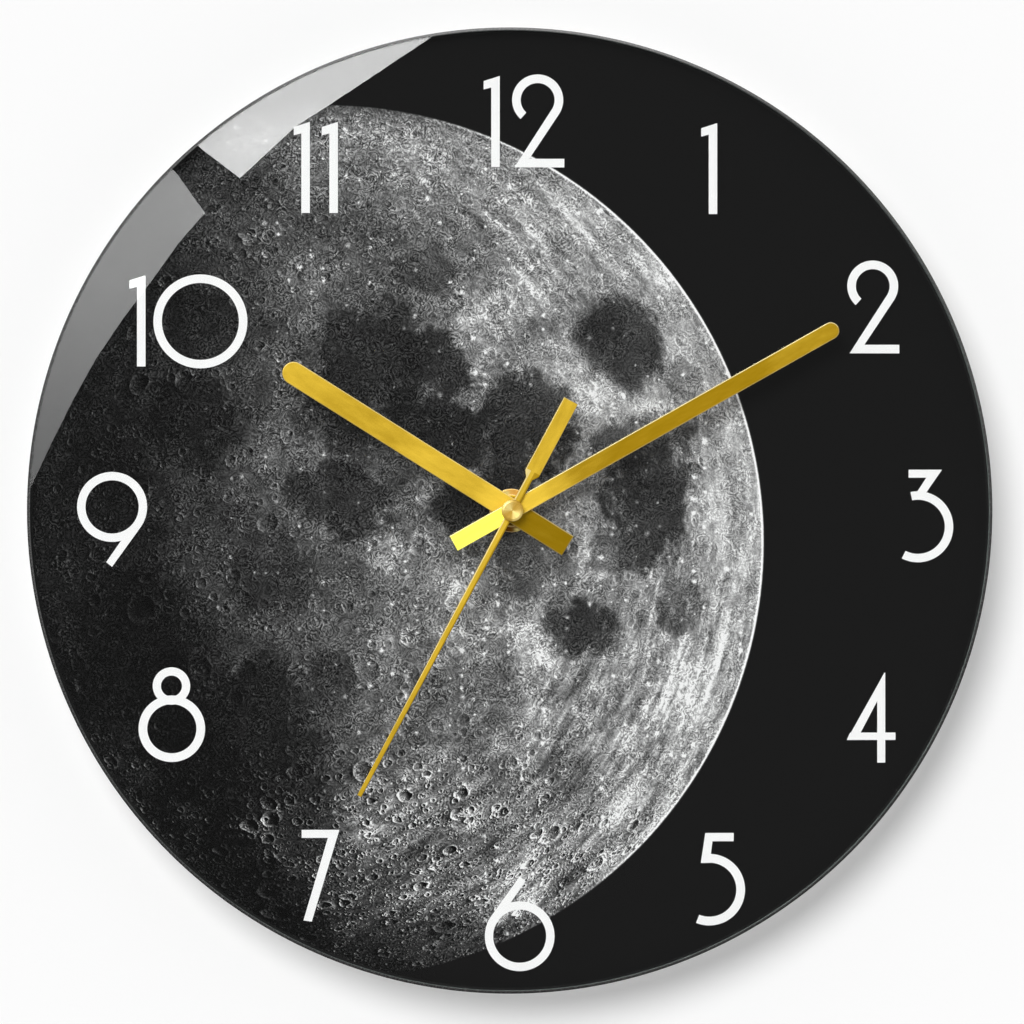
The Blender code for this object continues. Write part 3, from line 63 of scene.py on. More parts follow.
class Wire:
    """A value in a node tree, which takes part in plain arithmetic."""

    def __init__(self, tree, socket):
        self.tree = tree
        self.socket = socket

    def math(self, operation, *others):
        node = self.tree.nodes.new("ShaderNodeMath")
        node.operation = operation
        for place, value in enumerate((self, *others)):
            feed(node.inputs[place], value)
        return Wire(self.tree, node.outputs[0])

    def vector(self, operation, *others, output=0):
        node = self.tree.nodes.new("ShaderNodeVectorMath")
        node.operation = operation
        for place, value in enumerate((self, *others)):
            feed(node.inputs[place], value)
        return Wire(self.tree, node.outputs[output])

    def scaled(self, factor):
        node = self.tree.nodes.new("ShaderNodeVectorMath")
        node.operation = "SCALE"
        feed(node.inputs[0], self)
        feed(node.inputs["Scale"], factor)
        return Wire(self.tree, node.outputs[0])

    def __add__(self, other):
        return self.math("ADD", other)

    __radd__ = __add__

    def __sub__(self, other):
        return self.math("SUBTRACT", other)

    def __rsub__(self, other):
        return (self * -1.0) + other

    def __mul__(self, other):
        return self.math("MULTIPLY", other)

    __rmul__ = __mul__

    def __truediv__(self, other):
        return self.math("DIVIDE", other)

    def power(self, exponent):
        return self.math("MAXIMUM", 0.0).math("POWER", exponent)

    def larger(self, other):
        return self.math("MAXIMUM", other)

    def smaller(self, other):
        return self.math("MINIMUM", other)

    def sine(self):
        return self.math("SINE")

    def fall(self):
        """A bell over this value: one at nought, and near nought from two on."""
        return (self * self * -1.0).math("EXPONENT")

    def step(self, low, high, first=0.0, last=1.0):
        """Runs smoothly from first to last while this value runs from low to high."""
        node = self.tree.nodes.new("ShaderNodeMapRange")
        node.interpolation_type = "SMOOTHSTEP"
        feed(node.inputs["Value"], self)
        node.inputs["From Min"].default_value = low
        node.inputs["From Max"].default_value = high
        node.inputs["To Min"].default_value = first
        node.inputs["To Max"].default_value = last
        return Wire(self.tree, node.outputs["Result"])

    def parts(self):
        node = self.tree.nodes.new("ShaderNodeSeparateXYZ")
        feed(node.inputs[0], self)
        return [Wire(self.tree, output) for output in node.outputs]


def feed(socket, value):
    """Links a wire to a socket, or sets the socket to a plain value."""
    if isinstance(value, Wire):
        value.tree.links.new(value.socket, socket)
    else:
        socket.default_value = value


class Paint:
    """A node material under construction."""

    def __init__(self, name):
        self.material = bpy.data.materials.new(name)
        self.material.use_nodes = True
        self.tree = self.material.node_tree
        self.shader = self.tree.nodes["Principled BSDF"]
        self.output = self.tree.nodes["Material Output"]

    def wire(self, node, output=0):
        return Wire(self.tree, node.outputs[output])

    def set(self, **values):
        """Sets sockets of the shader: base_color=… goes to Base Color."""
        for key, value in values.items():
            for socket in self.shader.inputs:
                if socket.name.lower().replace(" ", "_") == key:
                    feed(socket, value)
                    break
            else:
                raise KeyError(key)

    def place(self):
        """The object's own coordinates, in metres."""
        return self.wire(self.tree.nodes.new("ShaderNodeTexCoord"), "Object")

    def on_dial(self):
        """Millimetres across and up from the hands' axis, and the depth in metres."""
        across, depth, up = self.place().parts()
        return across * (1 / MM), (up - AXIS_Z) * (1 / MM), depth

    def join(self, x, y, z=0.0):
        node = self.tree.nodes.new("ShaderNodeCombineXYZ")
        for socket, value in zip(node.inputs, (x, y, z)):
            feed(socket, value)
        return self.wire(node)

    def noise(self, vector, scale, detail=2.0, roughness=0.5, flat=False, output="Fac"):
        node = self.tree.nodes.new("ShaderNodeTexNoise")
        node.noise_dimensions = "2D" if flat else "3D"
        feed(node.inputs["Vector"], vector)
        node.inputs["Scale"].default_value = scale
        node.inputs["Detail"].default_value = detail
        node.inputs["Roughness"].default_value = roughness
        return self.wire(node, output)

    def cells(self, vector, scale, randomness=1.0):
        """Distance to the nearest of some scattered points, that point, and a colour of its own."""
        node = self.tree.nodes.new("ShaderNodeTexVoronoi")
        node.voronoi_dimensions = "2D"
        feed(node.inputs["Vector"], vector)
        node.inputs["Scale"].default_value = scale
        node.inputs["Randomness"].default_value = randomness
        return self.wire(node, "Distance"), self.wire(node, "Position"), self.wire(node, "Color")

    def blend(self, factor, first, second):
        """Goes from one colour to another."""
        node = self.tree.nodes.new("ShaderNodeMix")
        node.data_type = "RGBA"
        feed(node.inputs["Factor"], factor)
        colours = [socket for socket in node.inputs if socket.type == "RGBA"]
        for socket, value in zip(colours, (first, second)):
            feed(socket, colour(value) if isinstance(value, tuple) else value)
        return Wire(self.tree, next(s for s in node.outputs if s.type == "RGBA"))

    def grey(self, value):
        node = self.tree.nodes.new("ShaderNodeCombineColor")
        for socket in node.inputs:
            feed(socket, value)
        return self.wire(node)

    def bump(self, height, distance):
        """Raises the surface by height times distance, in metres."""
        node = self.tree.nodes.new("ShaderNodeBump")
        node.inputs["Strength"].default_value = 1.0
        node.inputs["Distance"].default_value = distance
        feed(node.inputs["Height"], height)
        self.set(normal=self.wire(node))


def colour(values):
    return (*values[:3], 1.0)


# The printed picture: a moon past its half, lit from the right, in millimetres from the hands' axis. Its
# seas and bright grounds are listed; shores, mottling, streaks and grain are noise, and the craters
# stand in scattered cells.

BALL_CENTRE = (-56.7, -9.8)
LIMB_RADIUS = 135.4
LIMB_LINE_WIDTH = 0.36
LIMB_SQUEEZE = 0.57
LIGHT_FROM = (0.90, 0.16, 0.40)
SKY_TONE = 0.095
PRINT_GAMMA = 2.2

# How far the print sits off the hands' axis, in millimetres across and up
PRINT_SHIFT = (-0.24, -0.02)

# The point that the streaks near the limb run round
STREAK_CENTRE = (-87.0, 0.0)

# Dark plains: where, half length, half width, turn in degrees, depth; lengths in millimetres
FAINT, MIDDLE, DEEP = 0.30, 0.45, 0.60
PLAINS = (
    (-43.0, 49.0, 24.0, 17.0, -8, MIDDLE),
    (-22.0, 25.0, 23.0, 12.0, -35, DEEP),
    (-26.0, 75.0, 10.0, 8.0, 0, FAINT),
    (-24.0, 46.0, 15.0, 11.0, -40, DEEP),
    (-2.0, 12.0, 11.0, 8.0, 0, DEEP),
    (4.0, 27.0, 17.0, 18.0, 0, DEEP),
    (34.5, 52.0, 17.0, 14.5, -60, DEEP),
    (43.0, 4.0, 24.0, 15.0, 80, DEEP),
    (34.0, -11.0, 12.0, 8.0, 20, MIDDLE),
    (41.0, 22.0, 17.0, 8.0, 15, MIDDLE),
    (21.0, -36.0, 13.0, 10.0, -20, DEEP),
    (2.0, -15.0, 14.0, 8.0, -60, FAINT),
    (-12.0, 1.0, 16.0, 10.0, -20, DEEP),
    (52.0, -29.0, 8.0, 9.0, 0, MIDDLE),
    (-55.0, 30.0, 13.0, 12.0, 0, MIDDLE),
    (-53.0, 3.0, 18.0, 12.0, -15, MIDDLE),
    (-34.0, 16.0, 14.0, 10.0, -30, FAINT),
    (-116.0, -44.0, 26.0, 26.0, 0, FAINT),
    (-86.0, -72.0, 34.0, 26.0, 25, MIDDLE),
    (-64.0, -95.0, 12.0, 20.0, 30, FAINT),
    (-56.0, -54.0, 13.0, 9.0, 30, FAINT),
    (-74.0, -20.0, 16.0, 13.0, 0, FAINT),
    (54.0, 40.0, 6.0, 8.0, 0, FAINT),
    (-95.0, 56.0, 14.0, 15.0, 0, FAINT),
    (-34.0, -137.0, 40.0, 10.0, 8, FAINT),
    (-80.0, -118.0, 34.0, 14.0, -38, MIDDLE),
    (-98.0, 28.0, 16.0, 16.0, 0, MIDDLE),
)

# How ragged the shores are, and the plain whose shore is round
RAGGED, ROUND = 0.9, 0.45
ROUND_PLAIN = (34.5, 52.0)

# Bright ground: where, radius, gain
DIM, CLEAR, BRIGHT = 0.10, 0.20, 0.30
LIGHTS = (
    (-8.5, 62.0, 8.5, BRIGHT),
    (3.5, 67.0, 8.0, BRIGHT),
    (9.0, 86.0, 11.0, DIM),
    (15.5, 46.0, 8.0, BRIGHT),
    (27.0, 37.5, 7.0, BRIGHT),
    (42.0, 28.0, 8.0, CLEAR),
    (-38.0, -12.5, 7.0, BRIGHT),
    (-15.0, -23.0, 6.0, BRIGHT),
    (3.5, -38.0, 7.5, BRIGHT),
    (9.5, -45.0, 6.5, BRIGHT),
    (26.0, -17.0, 8.0, BRIGHT),
    (47.0, -21.5, 6.0, DIM),
    (11.0, -60.0, 8.0, CLEAR),
    (55.0, -56.0, 11.5, BRIGHT),
    (45.0, -70.0, 10.0, CLEAR),
    (60.5, 0.0, 7.5, DIM),
    (33.0, 92.0, 12.0, DIM),
    (50.0, 72.0, 9.0, CLEAR),
    (64.0, -24.0, 9.0, DIM),
    (-36.0, -38.5, 5.0, BRIGHT),
    (-15.0, -41.0, 8.0, BRIGHT),
    (-74.0, 24.0, 9.0, DIM),
    (-43.5, -98.5, 10.0, BRIGHT),
    (-56.0, 115.0, 13.0, CLEAR),
    (-28.0, 112.0, 15.0, CLEAR),
    (-82.0, 116.0, 9.0, CLEAR),
    (-97.0, 98.0, 9.0, DIM),
    (31.0, -90.0, 15.0, DIM),
    (2.0, -121.0, 13.0, CLEAR),
    (3.0, -78.0, 18.0, DIM),
    (-65.0, 75.0, 6.0, DIM),
    (-32.0, -62.0, 22.0, DIM),
    (-26.0, -100.0, 18.0, DIM),
)

# Craters: cell, share of cells that hold one, relief, ring
CRATERS = (
    (18.0, 0.26, 0.50, 0.16),
    (9.0, 0.42, 0.60, 0.18),
    (4.9, 0.58, 0.60, 0.22),
    (2.9, 0.60, 0.50, 0.22),
)

# Which way the light crosses the craters, and the cell size under which the south has far more of them
CRATER_LIGHT = (0.94, 0.34)
SMALL_CRATER = 6.0

# Curled grain: distance between the points that its rings surround, distance between rings, strength
CURLS = ((4.1, 0.95, 0.80), (6.7, 1.30, 0.60))

# Bright specks: how far apart their cells stand
SPECK_CELL = 3.6


def pushed(paint, flat, size, share):
    """The ground pushed about by a share of this size, so that shapes on it come out uneven."""
    push = paint.noise(flat, 1.6 / size, detail=2.0, flat=True, output="Color")
    return flat.vector("ADD", push.vector("SUBTRACT", (0.5, 0.5, 0.5)).scaled(size * share))


def dark_plains(paint, x, z, ground):
    """How deep a plain lies here, from 0 to 1; its shore is ragged at every size."""
    rag = (paint.noise(ground, 0.075, detail=9.0, roughness=0.72, flat=True) - 0.5) * 3.6
    shapes = []
    for px, pz, length, width, turn, depth in PLAINS:
        cos, sin = math.cos(math.radians(turn)), math.sin(math.radians(turn))
        along = ((x - px) * cos + (z - pz) * sin) * (1 / length)
        aside = ((z - pz) * cos - (x - px) * sin) * (1 / width)
        shore = rag * (ROUND if (px, pz) == ROUND_PLAIN else RAGGED)
        shapes.append((along * along + aside * aside + shore).step(0.45, 1.20, depth, 0.0))
    return reduce(Wire.larger, shapes)


def soft_spot(x, z, px, pz, radius, stretch=1.0):
    """A soft spot of this radius, one at its middle; a stretch under one makes it wider across."""
    far = ((x - px) * (x - px) * stretch + (z - pz) * (z - pz)) * (-1.0 / (radius * radius))
    return far.math("EXPONENT")


def limb_streaks(paint, x, z, out):
    """Streaks that run round with the limb, and where they show."""
    off_x, off_z = x - STREAK_CENTRE[0], z - STREAK_CENTRE[1]
    bearing = off_z.math("ARCTAN2", off_x)
    away = (off_x * off_x + off_z * off_z).math("SQRT")
    way = paint.join(bearing * 5.0, away * 0.26)
    streaks = paint.noise(way, 1.0, detail=5.0, roughness=0.62, flat=True)
    lower = bearing.step(0.05, -0.35) * bearing.step(-1.35, -1.05)
    upper = bearing.step(0.30, 0.60) * bearing.step(1.15, 0.90, 0.0, 0.5)
    return streaks, (lower + upper) * out.step(0.30, 0.80)


def crater_field(paint, ground, light, south):
    """Bowls with a lit wall, a shaded wall and a rim, from wide ones to small ones."""
    shapes = []
    for cell, share, relief, ring in CRATERS:
        uneven = pushed(paint, ground, cell, 0.30)
        _, middle, chance = paint.cells(uneven, 1 / cell, randomness=0.95)
        size, luck, _ = chance.parts()
        arm = uneven.vector("SUBTRACT", middle)
        arm_x, arm_z, _ = arm.parts()
        reach = arm.vector("LENGTH", output="Value")
        share_out = reach / ((size * size * 0.26 + 0.10) * cell)
        bowl = share_out.step(0.90, 1.04, 1.0, 0.0)
        outer = ((share_out - 1.0).larger(0.0) * -3.2).math("EXPONENT") * (1.0 - bowl)
        facing = (arm_x * CRATER_LIGHT[0] + arm_z * CRATER_LIGHT[1]) / reach.larger(0.001)
        wall = (share_out * share_out * bowl - outer * 0.55) * facing * -relief
        edge = ((share_out - 1.0) * 5.0).fall() * ring - share_out.step(0.5, 0.9, 0.12, 0.0)
        drawn = luck + south * (0.32 if cell < SMALL_CRATER else 0.05)
        there = drawn.step(1.0 - share - 0.04, 1.0 - share + 0.04)
        low_sun = light.step(1.0, 0.30, 0.35, 1.25)
        shapes.append((wall * low_sun + edge * light.step(0.2, 0.9, 0.45, 0.95)) * there)
    return sum(shapes)


def curled_grain(paint, flat):
    """Fine curled grain: uneven rings round scattered points, about a millimetre apart."""
    rings = []
    for cell, period, share in CURLS:
        near, _, _ = paint.cells(pushed(paint, flat, cell * 0.7, 0.9), 1 / cell)
        rings.append((near * (cell * 2 * math.pi / period)).sine() * share)
    strength = paint.noise(flat, 0.15, detail=2.0, flat=True).step(0.3, 0.7, 0.5, 1.2)
    return sum(rings) * strength


def bright_specks(paint, flat):
    near, _, chance = paint.cells(flat, 1 / SPECK_CELL)
    luck, size, _ = chance.parts()
    return (near * 6.5 / (size * size + 0.35)).fall() * luck.step(0.74, 0.80)


def moon_tone(paint):
    """How light the print is, from 0 to 1, as the eye sees it."""
    x, z, _ = paint.on_dial()
    x, z = x - PRINT_SHIFT[0], z - PRINT_SHIFT[1]
    flat = paint.join(x, z)

    # The ball itself, how steeply the light meets it, and its ground, which crowds together at the limb
    ball_x = (x - BALL_CENTRE[0]) * (1 / LIMB_RADIUS)
    ball_z = (z - BALL_CENTRE[1]) * (1 / LIMB_RADIUS)
    out = (ball_x * ball_x + ball_z * ball_z).math("SQRT")
    towards = (1.0 - out * out).larger(0.0).math("SQRT")
    light = ball_x * LIGHT_FROM[0] + ball_z * LIGHT_FROM[1] + towards * LIGHT_FROM[2]
    light = light.larger(0.0)
    curve = (out.power(5.0) * LIMB_SQUEEZE + 1.0) * LIMB_RADIUS
    ground = paint.join(ball_x * curve, ball_z * curve)
    south = z.step(-62.0, -100.0) * light.step(0.9, 0.5)
    tone = light.power(0.75) * 0.44 + 0.105 + out.step(0.70, 1.0) * light.step(0.15, 0.60) * 0.12
    broad = paint.noise(ground, 0.032, detail=8.0, roughness=0.60, flat=True)
    tone = tone * broad.step(0.30, 0.70, 0.82, 1.18)

    # Plains, on which all that follows is fainter, and bright ground, broken up by the same roughness
    deep = dark_plains(paint, x, z, ground)
    calm = (1.0 - deep * 1.25).larger(0.22)
    tone = tone * (1.0 - deep)
    rough = paint.noise(ground, 0.17, detail=6.0, roughness=0.68, flat=True)
    glow = sum(soft_spot(x, z, px, pz, radius) * gain for px, pz, radius, gain in LIGHTS)
    tone = tone + glow * rough.step(0.30, 0.68, 0.45, 1.00)
    tone = tone * (1.0 + (rough - 0.5) * calm * 0.90)

    streaks, limb_side = limb_streaks(paint, x, z, out)
    tone = tone * (1.0 + (streaks - 0.5) * limb_side * calm * 2.0)
    tone = tone + streaks.step(0.56, 0.74) * limb_side * calm * 0.085

    rims = crater_field(paint, ground, light, south)
    relief = (calm + light.step(0.35, 0.1, 0.0, 0.35)) * (1.0 + south * 2.0)
    tone = tone + rims * relief * (tone * 0.85 + 0.09)
    tone = tone + curled_grain(paint, flat) * (tone * light.step(1.0, 0.5, 0.15, 0.28) + 0.044)
    tone = tone + bright_specks(paint, flat) * (tone * 1.1 + 0.12) * light.step(0.0, 0.3, 0.4, 1.0)

    # The bright line of the limb, and the sky past it
    tone = tone.larger(0.02).smaller(0.97)
    rim_line = ((out - 1.0) * (LIMB_RADIUS / LIMB_LINE_WIDTH)).fall() * light.step(0.30, 0.65)
    inside = out.step(1.0, 1.0 + 0.5 / LIMB_RADIUS, 1.0, 0.0)
    tone = tone * inside + (1.0 - inside) * SKY_TONE
    return (tone + rim_line * 0.70).smaller(1.0)


def printed_film():
    """The picture on the front, and the pale backing coat behind it."""
    paint = Paint("film_print")
    place = paint.place()
    _, depth, _ = place.parts()
    picture = paint.grey(moon_tone(paint).power(PRINT_GAMMA))
    clouds = paint.noise(place, 22.0, detail=6.0, roughness=0.6)
    strokes = paint.noise(place, 420.0, detail=4.0, roughness=0.6)
    coat = paint.blend((clouds + strokes * 0.3).step(0.40, 0.95), (0.55, 0.55, 0.545), (0.62, 0.62, 0.61))
    behind = depth.step(FILM_BACK - 0.03 * MM, FILM_BACK - 0.01 * MM)
    paint.set(base_color=paint.blend(behind, picture, coat), roughness=0.6, specular_ior_level=0.0)
    return paint.material


# Other finishes


def clear_glass():
    paint = Paint("dial_glass")
    paint.set(base_color=(0.985, 0.995, 0.99, 1.0), roughness=0.0, transmission_weight=1.0, ior=1.5)
    return paint.material


def plastic(name, base, roughness=0.42, grain=0.02 * MM, size=2600.0, shine=0.5):
    """Moulded plastic: a spark-eroded skin, and faint flow marks that darken and lighten it by a share."""
    share = 0.12
    paint = Paint(name)
    place = paint.place()
    clouds = paint.noise(place, 90.0, detail=4.0)
    tint = paint.blend(
        clouds.step(0.3, 0.7),
        tuple(c * (1 - share) for c in base),
        tuple(min(1.0, c * (1 + share)) for c in base),
    )
    skin = paint.noise(place, size, detail=3.0, roughness=0.6)
    paint.set(
        base_color=tint,
        roughness=clouds.step(0.2, 0.8, roughness - 0.06, roughness + 0.08),
        specular_ior_level=shine,
    )
    paint.bump(skin, grain)
    return paint.material


def metal(name, base, roughness, stretch=(1.0, 1.0, 1.0)):
    """Worked metal: fine tool marks along one way, with a slightly uneven shine."""
    paint = Paint(name)
    marks = paint.noise(paint.place().vector("MULTIPLY", stretch), 900.0, detail=4.0, roughness=0.6)
    tint = paint.blend(marks.step(0.25, 0.75), tuple(c * 0.75 for c in base), base)
    paint.set(
        base_color=tint,
        metallic=1.0,
        roughness=marks.step(0.2, 0.8, roughness - 0.05, roughness + 0.07),
    )
    paint.bump(marks, 0.004 * MM)
    return paint.material


# Golds of the hands: deep to pale spans their painted sheen, lemon is the painted sheen of a bright
# counterweight, and the last is their painted edge highlight.
DEEP_GOLD = (0.39, 0.23, 0.001)
PALE_GOLD = (0.98, 0.66, 0.058)
LEMON_GOLD = (0.92, 0.83, 0.068)
HIGHLIGHT_GOLD = (1.0, 0.88, 0.46)

# A hand's painted edge highlight: from where it fades in to where it is full, in millimetres inside the
# hand's side. On the thin seconds hand, the same for the painted highlight on its right side and the painted
# shade on its left side, in millimetres off its middle.
EDGE_HIGHLIGHT = (0.42, 0.16)
THIN_EDGE_HIGHLIGHT = (0.56, 0.76)
THIN_SHADE = (-0.36, -0.72)


def hand_gold(name, bearing, width, ends, stops, tail, lean, edges, paddle_end=None):
    """Satin gold, brushed along the hand. Its sheen changes along its length, as the photo shows.

    width is in millimetres, and the ends, the stops and paddle_end count millimetres from the axis. stops
    are pairs of a distance and the lightness of a painted sheen there. tail is the painted lightness of the
    counterweight's side, lemon past one, and lean how far that side bends towards the upper left. edges say
    how bright a painted highlight runs along each side, to the left and to the right of the hand's way out.
    Past paddle_end the hand is thin.
    """
    paint = Paint(name)
    x, z, _ = paint.on_dial()
    sin, cos = math.sin(math.radians(bearing)), math.cos(math.radians(bearing))
    along, aside = x * sin + z * cos, x * cos - z * sin

    # The lightness along the hand and on its counterweight's side is a painted sheen.
    rises = [along.step(near, far, 0.0, high - low) for (near, low), (far, high) in zip(stops, stops[1:])]
    light = sum(rises, stops[0][1])
    behind = along.step(-1.5, 1.5, 1.0, 0.0)
    light = light * (1.0 - behind) + behind * min(tail, 1.0)
    clouds = paint.noise(paint.join(along * 0.35, aside), 0.32, detail=3.0, flat=True)
    brush = paint.noise(paint.join(along * 0.22, aside * 7.0), 1.3, detail=4.0, roughness=0.7, flat=True)
    satin = paint.noise(paint.join(along, aside), 3.2, detail=2.0, roughness=0.7, flat=True)
    light = light + (clouds - 0.5) * 0.34 + (brush - 0.5) * 0.16 + (satin - 0.5) * 0.22
    tint = paint.blend(light.step(0.0, 1.0), DEEP_GOLD, PALE_GOLD)
    if tail > 1.0:
        tint = paint.blend(behind, tint, LEMON_GOLD)

    # A painted highlight along the hand's sides and the end of its tail, brighter on one side than the other.
    start, tip = ends
    past = (along - (tip - width / 2)).larger(0.0)
    off = (aside * aside + past * past).math("SQRT")
    rim = off.step(width / 2 - EDGE_HIGHLIGHT[0], width / 2 - EDGE_HIGHLIGHT[1])
    rim = rim.larger(along.step(start + EDGE_HIGHLIGHT[0], start + EDGE_HIGHLIGHT[1]) * 0.5)
    rim = rim * aside.step(-0.3, 0.3, *edges)
    # Past paddle_end: a painted highlight on the thin part's right side and a painted shade on its left side.
    if paddle_end is not None:
        thin = along.step(paddle_end - 0.4, paddle_end - 0.1)
        rim = rim * (1.0 - thin) + aside.step(*THIN_EDGE_HIGHLIGHT) * thin * edges[1]
        tint = paint.blend(aside.step(*THIN_SHADE) * thin * 0.8, tint, DEEP_GOLD)
    tint = paint.blend(rim, tint, HIGHLIGHT_GOLD)
    paint.set(
        base_color=tint,
        metallic=0.25,
        roughness=brush.step(0.25, 0.75, 0.34, 0.44),
        specular_ior_level=0.12,
    )
    slope = (x * 0.64 - z * 0.77) * behind * lean + brush * 0.004 + clouds * 0.10
    paint.bump(slope, MM)
    return paint.material


def spun_metal(name, base, dark, roughness, pitch, height, metallic=0.5, dome=None):
    """Turned metal: rings round the axis, and a painted sheen that fans out from it.

    pitch and height are the rings' in millimetres, and dome is the pair of radii between which a domed
    piece falls away at its edge.
    """
    paint = Paint(name)
    x, z, depth = paint.on_dial()
    reach = (x * x + z * z).math("SQRT")
    uneven = paint.noise(paint.join(reach * 2.4, depth * 1500.0), 1.0, detail=2.0, flat=True)
    rings = (reach * (2 * math.pi / pitch) + uneven * 3.0).sine()
    unit_x, unit_z = x / reach.larger(0.05), z / reach.larger(0.05)
    # Painted sheen in the colour: uneven rays and sectors that fan out from the axis, brightest towards the
    # lower right and the upper left.
    sheen_rays = paint.noise(paint.join(unit_x, unit_z), 2.2, detail=1.0)
    sheen_fan = (unit_x - unit_z) * (unit_x - unit_z) * 0.5
    tint = paint.blend((rings * 0.08 + sheen_rays * 0.6 + sheen_fan * 0.55).step(0.25, 0.95), dark, base)
    tangent = paint.tree.nodes.new("ShaderNodeTangent")
    tangent.direction_type = "RADIAL"
    tangent.axis = "Y"
    paint.set(
        base_color=tint,
        metallic=metallic,
        roughness=uneven.step(0.2, 0.8, roughness - 0.04, roughness + 0.06),
        specular_ior_level=0.15,
        anisotropic=0.3,
        tangent=paint.wire(tangent),
    )
    relief = (rings + uneven) * height
    if dome:
        relief = relief - reach.step(*dome) * 0.30
    paint.bump(relief, MM)
    return paint.material


# The nut's collar and the painted glints on its flange, in millimetres from the axis
COLLAR_RADIUS = 4.9
GLINTS = ((-1.5, 5.5), (1.9, -5.9))
GLINT_RADIUS = 0.7


def polished_nut():
    """Polished brass with painted shade in its lower half, painted highlights along its edges, two painted
    glints and a yellower collar.
    """
    paint = Paint("nut_brass")
    x, z, _ = paint.on_dial()
    reach = (x * x + z * z).math("SQRT")
    clouds = paint.noise(paint.join(x, z), 0.55, detail=3.0, flat=True)
    # Darker towards the bottom of the flange and the collar: painted shade, broken up by noise.
    height = z + (clouds - 0.5) * 3.0
    flange = paint.blend(height.step(-5.2, 2.5), (0.20, 0.075, 0.001), (1.0, 0.55, 0.11))
    collar = paint.blend(height.step(-5.0, 0.5), (0.24, 0.125, 0.004), (1.0, 0.64, 0.03))
    inner = reach.step(COLLAR_RADIUS - 0.10, COLLAR_RADIUS + 0.05, 1.0, 0.0)
    tint = paint.blend(inner, flange, collar)
    # Painted highlights along the collar's edge and the flange's rim, and two painted glints.
    collar_highlight = ((reach - (COLLAR_RADIUS + 0.02)) * 5.0).fall()
    flange_highlight = reach.step(NUT_RADIUS - 0.375, NUT_RADIUS - 0.175)
    tint = paint.blend(collar_highlight * 0.75 + flange_highlight * 0.45, tint, (1.0, 0.76, 0.36))
    glints = sum(soft_spot(x, z, *glint, GLINT_RADIUS, stretch=0.5) for glint in GLINTS)
    tint = paint.blend(glints, tint, (1.0, 0.86, 0.30))
    paint.set(
        base_color=tint,
        metallic=0.35,
        roughness=clouds.step(0.25, 0.75, 0.16, 0.26),
        specular_ior_level=0.2,
    )
    paint.bump(clouds, 0.04 * MM)
    return paint.material


# How far apart the coil's turns lie
WIRE_PITCH = 0.22 * MM


def enamelled_wire():
    """Turns of fine wire side by side round a bobbin that lies along x."""
    paint = Paint("enamel_wire")
    across, depth, up = paint.place().parts()
    turns = (across * (2 * math.pi / WIRE_PITCH) + (depth + up) * 900.0).sine()
    uneven = paint.noise(paint.place(), 500.0, detail=3.0)
    tint = paint.blend((turns * 0.4 + uneven).step(0.1, 0.9), (0.32, 0.075, 0.03), (0.78, 0.30, 0.13))
    paint.set(base_color=tint, metallic=0.7, roughness=uneven.step(0.2, 0.8, 0.26, 0.38))
    paint.bump(turns, 0.04 * MM)
    return paint.material


def laminate():
    """Green circuit board with tracks under the lacquer and tinned pads."""
    paint = Paint("board_laminate")
    across, _, up = paint.place().parts()
    weave = (across * 9000.0).sine() * (up * 9000.0).sine()
    run = paint.noise(paint.join(across * 260.0, up * 120.0), 1.0, detail=0.0, flat=True)
    tracks = (run * 26.0).sine().step(0.35, 0.55)
    near, _, chance = paint.cells(paint.join(across, up), 330.0)
    luck, _, _ = chance.parts()
    pads = near.step(0.26, 0.22) * luck.step(0.80, 0.82)
    green = paint.blend(tracks, (0.012, 0.085, 0.035), (0.045, 0.24, 0.085))
    tint = paint.blend(pads, green, (0.72, 0.72, 0.70))
    paint.set(base_color=tint, roughness=pads.step(0.0, 1.0, 0.30, 0.22), metallic=pads, coat_weight=0.3)
    paint.bump(tracks + pads + weave * 0.1, 0.03 * MM)
    return paint.material


# The wrapped cell: bare steel at its foot and its shoulder, the band and the line at the band's end, each in
# millimetres from the end that it belongs to, and how soft their edges are
CELL_FOOT = 0.55
CELL_SHOULDER = 2.2
CELL_BAND = 15.0
CELL_LINE = 15.6
CELL_BLUR = 0.2


def cell_wrap():
    """A plain wrapped cell: dark sleeve, copper-coloured band, bare steel ends and a button."""
    paint = Paint("cell_wrap")
    place = paint.place()
    across, _, _ = place.parts()
    low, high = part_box("battery_cell")
    x = across * (1 / MM)
    foot, shoulder, band = low.x / MM + CELL_FOOT, high.x / MM - CELL_SHOULDER, high.x / MM - CELL_BAND
    scuffs = paint.noise(place.vector("MULTIPLY", (0.25, 1.0, 1.0)), 1400.0, detail=5.0, roughness=0.7)
    dust = paint.noise(place, 300.0, detail=4.0)
    ends = x.step(foot, foot + CELL_BLUR, 1.0, 0.0) + x.step(shoulder, shoulder + CELL_BLUR)
    banded = x.step(band, band + CELL_BLUR) * x.step(shoulder, shoulder + CELL_BLUR, 1.0, 0.0)
    line = ((x - (high.x / MM - CELL_LINE)) * 3.2).fall()
    sleeve = paint.blend(dust.step(0.3, 0.7), (0.012, 0.013, 0.016), (0.022, 0.024, 0.028))
    tint = paint.blend(banded, sleeve, (0.56, 0.24, 0.085))
    tint = paint.blend(line, tint, (0.75, 0.75, 0.76))
    tint = paint.blend(ends, tint, (0.70, 0.70, 0.71))
    paint.set(
        base_color=tint,
        metallic=(ends + banded * 0.7).smaller(1.0),
        roughness=scuffs.step(0.35, 0.75, 0.20, 0.34),
    )
    paint.bump(scuffs, 0.002 * MM)
    return paint.material


